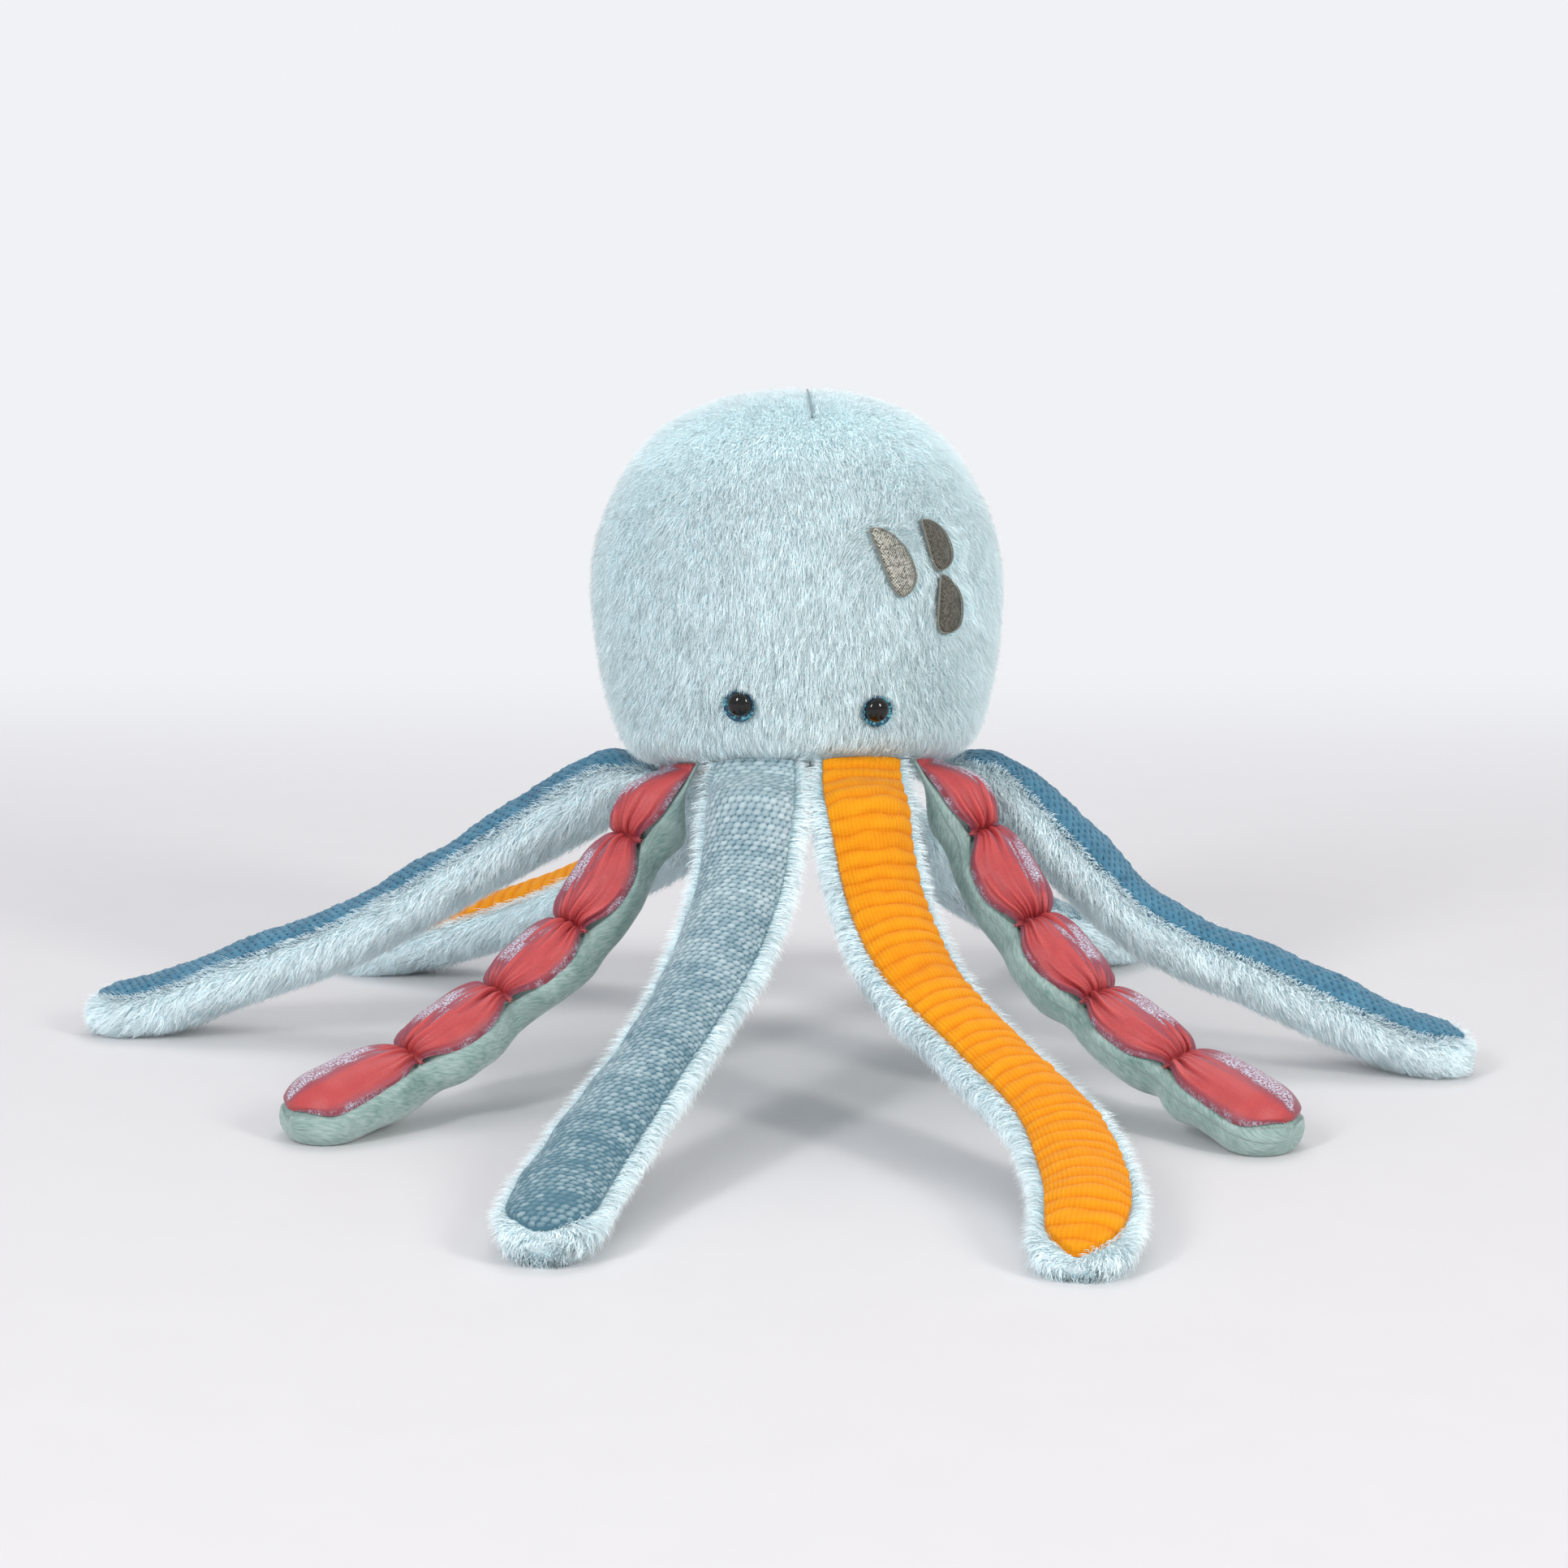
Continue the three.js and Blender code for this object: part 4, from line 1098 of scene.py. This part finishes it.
def make_limb_body(limb, look):
    """The stuffed limb under its face, with its pile's skin or its velvet on the back."""
    run = np.linspace(1.5, limb.length - 0.6, BODY_ROWS)[:, None]
    degrees = np.linspace(0, 360, BODY_COLUMNS, endpoint=False)[None, :]
    run, degrees = np.broadcast_arrays(run, degrees)
    under_face = smooth(0.5 - limb.from_face(run, degrees) / 8)
    sink = -0.2 if limb.coral else -LIMB_SINK
    grid = limb.surface(run, degrees, sink * (1 - under_face) - 2.6 * under_face)
    if limb.coral:
        grid = crease_velvet(limb, grid, run, degrees)
    grid[..., 2] = np.maximum(grid[..., 2], CLEAR_OF_FLOOR)
    middle = grid.mean(axis=1, keepdims=True)
    first, last = (np.broadcast_to(middle[row:][:1], grid[:1].shape) for row in (0, BODY_ROWS - 1))
    grid = np.concatenate([first, grid, last])
    outward = grid - grid.mean(axis=1, keepdims=True)
    outward[0], outward[-1] = -limb.alongs[0], limb.alongs[-1]
    rows = np.concatenate([[0], run[:, 0], [limb.length]])
    uv = np.stack(np.broadcast_arrays(degrees[:1] / 360 * 110 + 60, rows[:, None]), axis=-1) * UV_PER_MM
    piece = make_grid(
        limb.body + "_body", grid, outward, limb.body, look, closed=True, uv=uv.reshape(-1, 2),
    )
    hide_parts(limb.body + "_back", limb.body + "_filling")


def crease_velvet(limb, grid, run, degrees):
    """Velvet puckers beside each pinch of the face."""
    away = unit(grid - grid.mean(axis=1, keepdims=True))
    pull = limb.pinch(run, 0.05) * smooth((np.sin(np.radians(degrees)) + 0.75) / 0.9)
    folds = ripple(grid * [1, 1, 0.4], 26, 50) * limb.pinch(run, 0.09)
    return grid + away * (2.2 * folds - 2.4 * pull + 0.5 * ripple(grid, 60, 51))[..., None]


def make_limb_pile(limb, look, seed):
    """The long pile round a limb's face, combed towards its tip and away from the face."""
    shares, turns = even_pairs(LIMB_HAIRS, seed)
    run = 1.5 + shares * (limb.length - 1.7)
    degrees = turns * 360
    beyond = limb.from_face(run, degrees)
    keep = beyond > -5
    run, degrees, beyond = run[keep], degrees[keep], beyond[keep]
    tip = smooth((run - limb.length + 14) / 14)[:, None]
    rim = np.maximum(smooth(1 - beyond / RIM_DEGREES)[:, None], 0.9 * tip)
    lift = 1.8 * rim[:, 0] - LIMB_SINK
    roots = limb.surface(run, degrees, lift)
    step = 0.5
    along = unit(limb.surface(run + step, degrees, lift) - limb.surface(run - step, degrees, lift))
    across = unit(limb.surface(run, degrees + step, lift) - limb.surface(run, degrees - step, lift))
    normals = unit(np.cross(along, across))
    wrong = np.sum(normals * (roots - limb.at(limb.places, run)), axis=1) < 0
    normals[wrong] *= -1
    heading = limb.at(limb.alongs, run)
    normals = unit(normals + tip * heading * 0.6)
    away = np.where(np.cos(np.radians(degrees)) > 0, -1.0, 1.0)[:, None] * across
    steep = np.abs(np.cos(np.radians(degrees)))[:, None]
    lays = unit(heading * (1 - 0.5 * rim) + (0.5 + 0.5 * rim) * (1 - tip) * away * steep
                + 0.35 * ripple(roots, 28, seed)[:, None] * across)
    width, _, _ = limb.size(run)
    length = LIMB_PILE * np.clip(width / 18, 0.5, 1) * np.clip(0.6 + run / 40, 0.6, 1)
    length = length * (1 - 0.12 * rim[:, 0]) * (1 + 0.4 * rim[:, 0] * smooth(1 - run / 70))
    pile = make_pile(
        limb.body + "_fur", roots, normals, lays, length, limb.body, look, seed + 100,
        lean=(42 - 26 * rim, 72 - 34 * rim), width=0.42, tuft=3.2, pull=0.2, wander=0.26,
        bias=(0.25 + 0.75 * rim) * limb.at(limb.outs, run),
    )


def knit_relief(across, along):
    """Seed stitch: rows of round knots, each row set off by half a knot."""
    row = np.floor(along / KNOT_ALONG)
    shifted = across / KNOT_ACROSS + 0.5 * (row % 2) + 0.12 * np.sin(row * 2.1)
    column = np.floor(shifted)
    own = own_of(column, row, 60)
    a, b = shifted - column - 0.5, along / KNOT_ALONG - row - 0.5
    dome = 1 - ((a + 0.22 * b) / 0.6) ** 2 - (b / 0.66) ** 2
    return np.sqrt(np.clip(dome, 0, 1)) * (0.8 + 0.2 * own), own


def channel_relief(across, along):
    """Padded channels across the limb, pinched between them and a little crooked."""
    flat = np.stack([across, along], axis=-1)
    drift = CHANNEL_DRIFT * (ripple(flat * [0.5, 1], 38, 61) + 0.5 * ripple(flat * [0.8, 1], 16, 69))
    channel = (along + drift) / CHANNEL_PITCH
    index = np.floor(channel)
    own = own_of(index, index, 62)
    height = np.abs(np.sin(math.pi * channel)) ** 0.5 * (0.65 + 0.35 * own)
    return height + 0.08 * ripple(flat, 9, 63), own


def waffle_relief(across, along):
    """Knitted cloth with staggered rows of small pits and a low ridge between two rows."""
    column = np.floor(across / PIT_ACROSS)
    shifted = along / PIT_ALONG + 0.5 * (column % 2)
    row = np.floor(shifted)
    own = own_of(column, row, 64)
    a, b = across / PIT_ACROSS - column - 0.5, shifted - row - 0.5
    pit = np.exp(-((a / 0.24) ** 2) - ((b + 0.5 * a) / 0.2) ** 2)
    return 0.85 - 0.85 * pit * (0.6 + 0.4 * own) + 0.15 * np.cos(math.tau * a) * 0.5, own


def gather_relief(limb, share, run):
    """Folds that run out of each gathered pinch and fade over the bulbs."""
    stops = np.array(PINCHES) * limb.length
    nearest = np.argmin([np.abs(run - stop) for stop in stops], axis=0)
    away = run - stops[nearest]
    side = 2 * nearest + (away > 0)
    fade = np.exp(-((np.abs(away) / GATHER_REACH) ** 1.3))
    reach = 1 + 0.5 * ripple(np.stack([share * 6, side * 3.0], axis=-1), 6, 66)
    wander = 0.35 * ripple(np.stack([share * 3, run / 14], axis=-1), 6, 65)
    folds = np.zeros(run.shape)
    for count, weight, seed in ((5.5, 0.5, 0), (9.5, 0.5, 1), (16.0, 0.35, 2)):
        phase = own_of(side, side + seed, 70)
        folds += weight * np.sin(math.tau * (share * count / 2 + phase) + wander * 3)
    crease = np.exp(-((away / 1.6) ** 2))
    return folds * fade * np.clip(reach, 0.3, 1.6) * (1 - 0.5 * crease) + 0.12 * wander


def satin_glint_and_shade(limb, share, bulb, normals):
    """How much painted glint and how much painted purplish shade the satin gets: most where it faces up and
    away, and along its seams.
    """
    outer = share * np.sign(limb.glint_from[0])
    facing = 1.2 * (normals @ limb.glint_from - 0.75)
    painted_glint = smooth((outer + facing + 0.34) / 0.42)
    painted_glint = painted_glint * smooth((0.6 - outer) / 0.4) * smooth((bulb - 0.7) / 0.3)
    painted_mauve_shade = smooth((outer + facing + 0.68) / 0.7)
    seam = smooth((np.abs(share) - 0.68) / 0.24)
    return np.maximum(painted_glint, 0.66 * seam**2 * bulb), np.maximum(painted_mauve_shade, 0.85 * seam)


def make_limb_face(limb, look):
    """The cloth of a limb's face, with its own relief, tucked in along the seams."""
    start, end = 1.5, limb.length - (CORAL_END if limb.coral else PLAIN_END)
    run = np.arange(start, end, CLOTH_STEP)[:, None]
    share = np.linspace(-1, 1, CLOTH_COLUMNS)[None, :]
    run, share = np.broadcast_arrays(run, share)
    half = limb.face_half(run)
    degrees = 90 + share * half
    width, crown, depth = limb.size(run)
    grid = limb.surface(run, degrees, 0 * degrees)
    bulb = limb.bulb(run)
    if limb.coral:
        rise = np.sin(math.pi / 2 * np.clip((run - 2) / CORAL_SWELL, 0, 1))
        early = LIMB_HALF_THICKNESS * rise * smooth((70 - run) / 30)
        raised = (np.maximum(depth, early) * (0.42 + 0.72 * bulb) - crown) * np.sin(np.radians(degrees))
        grid = grid + limb.at(limb.outs, run) * raised[..., None]
    across = share * np.radians(half) * (width + crown) / 2
    flat = np.stack([across, run], axis=-1)
    if limb.cloth == "knit":
        relief, own = knit_relief(across, run)
        height = KNOT_HEIGHT * relief + 0.6 * ripple(flat, 40, 67)
    elif limb.cloth == "orange":
        relief, own = channel_relief(across, run)
        height = CHANNEL_HEIGHT * relief
    elif limb.cloth == "waffle":
        relief, own = waffle_relief(across, run)
        height = WAFFLE_HEIGHT * relief + 0.8 * ripple(flat, 45, 68) + 0.3 * ripple(flat, 9, 71)
    else:
        folds = gather_relief(limb, share, run)
        # Painted shade: darker in the folds' troughs and towards the pinches.
        relief = np.clip(0.62 + 0.45 * folds, 0, 1) * (0.2 + 0.8 * np.clip(bulb * 1.3, 0, 1))
        height = GATHER_HEIGHT * folds
    edge = np.radians(half) * (width + crown) / 2 * (1 - np.abs(share))
    ends = np.minimum(run - start, end - run)
    inside = smooth(edge / EDGE_REACH) * smooth(ends / EDGE_REACH + 0.15)
    normals = steady(limb, grid)
    grid = grid + normals * ((height - 0.4) * inside - EDGE_TUCK * (1 - inside))[..., None]
    # Painted shade: darker where the relief is low and where the cloth tucks in at its seams.
    relief_shade = np.clip(relief, 0, 1) * (0.4 + 0.6 * inside)
    if limb.coral:
        paint = np.stack([relief_shade, *satin_glint_and_shade(limb, share, bulb, steady(limb, grid))], axis=-1)
    else:
        paint = np.stack([relief_shade, own, 0 * relief_shade], axis=-1)
    uv = np.stack([across + 30, run], axis=-1) * UV_PER_MM
    piece = make_grid(
        limb.body + "_cloth", grid, normals, limb.body, look,
        paint=paint.reshape(-1, 3), uv=uv.reshape(-1, 2),
    )
    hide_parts(limb.body + "_face")


def make_gathers(limb, look):
    """A doubled thread holds each pinch across the face."""
    for index, pinch in enumerate(PINCHES):
        run = pinch * limb.length
        strands = []
        for strand, (offset, phase) in enumerate(((-0.5, 0), (0.5, 2.5))):
            degrees = np.linspace(42, 138, THREAD_STEPS)
            runs = run + offset + 0.35 * np.sin(np.linspace(0, 30, THREAD_STEPS) + phase)
            _, crown, depth = limb.size(runs)
            lift = depth * 0.42 - crown + 0.35 + 0.35 * np.sin(np.linspace(0, 38, THREAD_STEPS) + phase)
            path = limb.surface(runs, degrees, 0 * runs)
            outs = limb.at(limb.outs, runs)
            path = path + outs * (lift * np.sin(np.radians(degrees)))[:, None]
            strands.append(tube_round(path, limb.at(limb.alongs, runs), THREAD_RADIUS))
        tube = grid_faces(THREAD_STEPS, THREAD_SIDES, closed=True)
        points = np.concatenate([strand.reshape(-1, 3) for strand in strands])
        faces = np.vstack([tube, tube + THREAD_STEPS * THREAD_SIDES])
        piece = make_mesh(f"{limb.body}_gather_{index + 1}", points, [faces], limb.body, look)
        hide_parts(f"{limb.body}_thread_{index + 1}")


def make_camera():
    data = bpy.data.cameras.new("camera")
    data.lens = CAMERA_LENS
    data.sensor_width = SENSOR
    data.sensor_height = SENSOR
    data.clip_end = CAMERA_FAR_END
    camera = add_to_scene("camera", data)
    camera.location = Vector((TOY_AXIS[0] + CAMERA_ASIDE, TOY_AXIS[1] - CAMERA_BACK, CAMERA_HEIGHT)) * MM
    camera.rotation_euler = (math.radians(90 - CAMERA_PITCH), 0, 0)
    bpy.context.scene.camera = camera


def make_lamp(name, place, sides, power, colour):
    data = bpy.data.lights.new(name, "AREA")
    data.shape = "RECTANGLE"
    data.size, data.size_y = sides
    data.energy = power
    data.color = colour
    lamp = add_to_scene(name, data)
    lamp.location = place
    lamp.rotation_euler = (Vector(LAMP_AIM) - Vector(place)).to_track_quat("-Z", "Y").to_euler()


def make_stage():
    """A pale floor that goes over into a paler backdrop, soft lamps and a pale sky."""
    look = Look("pale_floor", Roughness=0.6, Specular_IOR_Level=0.2)
    grain = look.noise(40, 2.0)
    lighter = tuple(min(part + 3, 255) for part in FLOOR_COLOUR)
    floor_look = look.done(look.mix(grain, linear(FLOOR_COLOUR), linear(lighter)))
    place = look.add("SeparateXYZ", {0: look.places()}).outputs
    rays = look.add("LightPath").outputs
    seen = look.plus(rays["Is Camera Ray"], rays["Is Glossy Ray"])
    seen = look.math("MINIMUM", look.plus(seen, rays["Is Transmission Ray"]), 1.0)
    reach = {0: place[1], 1: FAR_START, 2: FAR_END}
    far = look.add("MapRange", reach, interpolation_type="SMOOTHSTEP").outputs[0]
    pale = look.add("Emission", {"Color": linear(BACKDROP_COLOUR), "Strength": 1.0})
    both = look.add("MixShader", {0: look.times(seen, far)})
    look.links.new(look.shader.outputs[0], both.inputs[1])
    look.links.new(pale.outputs[0], both.inputs[2])
    look.links.new(both.outputs[0], look.nodes["Material Output"].inputs["Surface"])
    angle = np.linspace(0, math.pi / 2, SWEEP_STEPS)
    sweep = [(FLOOR_BACK + SWEEP_RADIUS * math.sin(a), SWEEP_RADIUS * (1 - math.cos(a))) for a in angle]
    path = [(FLOOR_FRONT, 0), *sweep, (FLOOR_BACK + SWEEP_RADIUS, BACKDROP_HEIGHT)]
    grid = np.array([[(x, y, z) for x in (-FLOOR_HALF_WIDTH, FLOOR_HALF_WIDTH)] for y, z in path], float)
    mesh = bpy.data.meshes.new("floor")
    faces = grid_faces(len(path), 2)
    mesh.from_pydata((grid.reshape(-1, 3) * MM).tolist(), [], faces.tolist())
    mesh.materials.append(floor_look)
    mesh.shade_smooth()
    floor = add_to_scene("floor", mesh)
    for name, settings in LAMPS.items():
        make_lamp(name, *settings)
    world = bpy.data.worlds.new("sky")
    world.use_nodes = True
    sky = world.node_tree.nodes["Background"]
    sky.inputs["Color"].default_value = linear(BACKDROP_COLOUR)
    sky.inputs["Strength"].default_value = SKY_STRENGTH
    bpy.context.scene.world = world
    bpy.context.scene.view_settings.view_transform = "Standard"


make_camera()
make_stage()

plush_pile = pile_look("head_pile", PLUSH_ROOT, PLUSH_TIP, 0.12, 0.22)
pale_pile = pile_look("limb_pile", PALE_ROOT, PALE_TIP, 0.2, 0.12)
plush_skin = skin_look("head_backing", PLUSH_ROOT, PLUSH_TIP)
pale_skin = skin_look("limb_backing", PALE_ROOT, PALE_TIP)
velvet = velvet_look()
cloths = {
    "knit": relief_look("seed_stitch", KNIT_DARK, KNIT_LIGHT, 0.5, 16, 0.0017),
    "orange": jersey_look(),
    "satin": satin_look(),
    "waffle": relief_look("waffle_knit", WAFFLE_DARK, WAFFLE_LIGHT, 0.7, 10, 0),
}
make_head_skin(plush_skin)
make_head_pile(plush_pile)
make_dart(stitch_look("dart_thread_shade", DART_SHADE_COLOUR))
make_under_pile(plush_pile)
make_eyes(black_look(), glitter_look(), washer_look())
make_spots(
    lurex_look("lurex_bright", LUREX_LIGHT, LUREX_DARK), lurex_look("lurex_dull", DULL_LIGHT, DULL_DARK),
    stitch_look("satin_stitch", STITCH_COLOUR),
)
gather_look = stitch_look("gather_thread", CORAL_LIGHT)
for number, (limb_name, (limb_degrees, limb_cloth, limb_shares)) in enumerate(LIMBS.items()):
    limb = Limb(limb_name, limb_degrees, limb_cloth, limb_shares)
    make_limb_body(limb, velvet if limb.coral else pale_skin)
    make_limb_face(limb, cloths[limb_cloth])
    if limb.coral:
        make_gathers(limb, gather_look)
    else:
        make_limb_pile(limb, pale_pile, 70 + number)
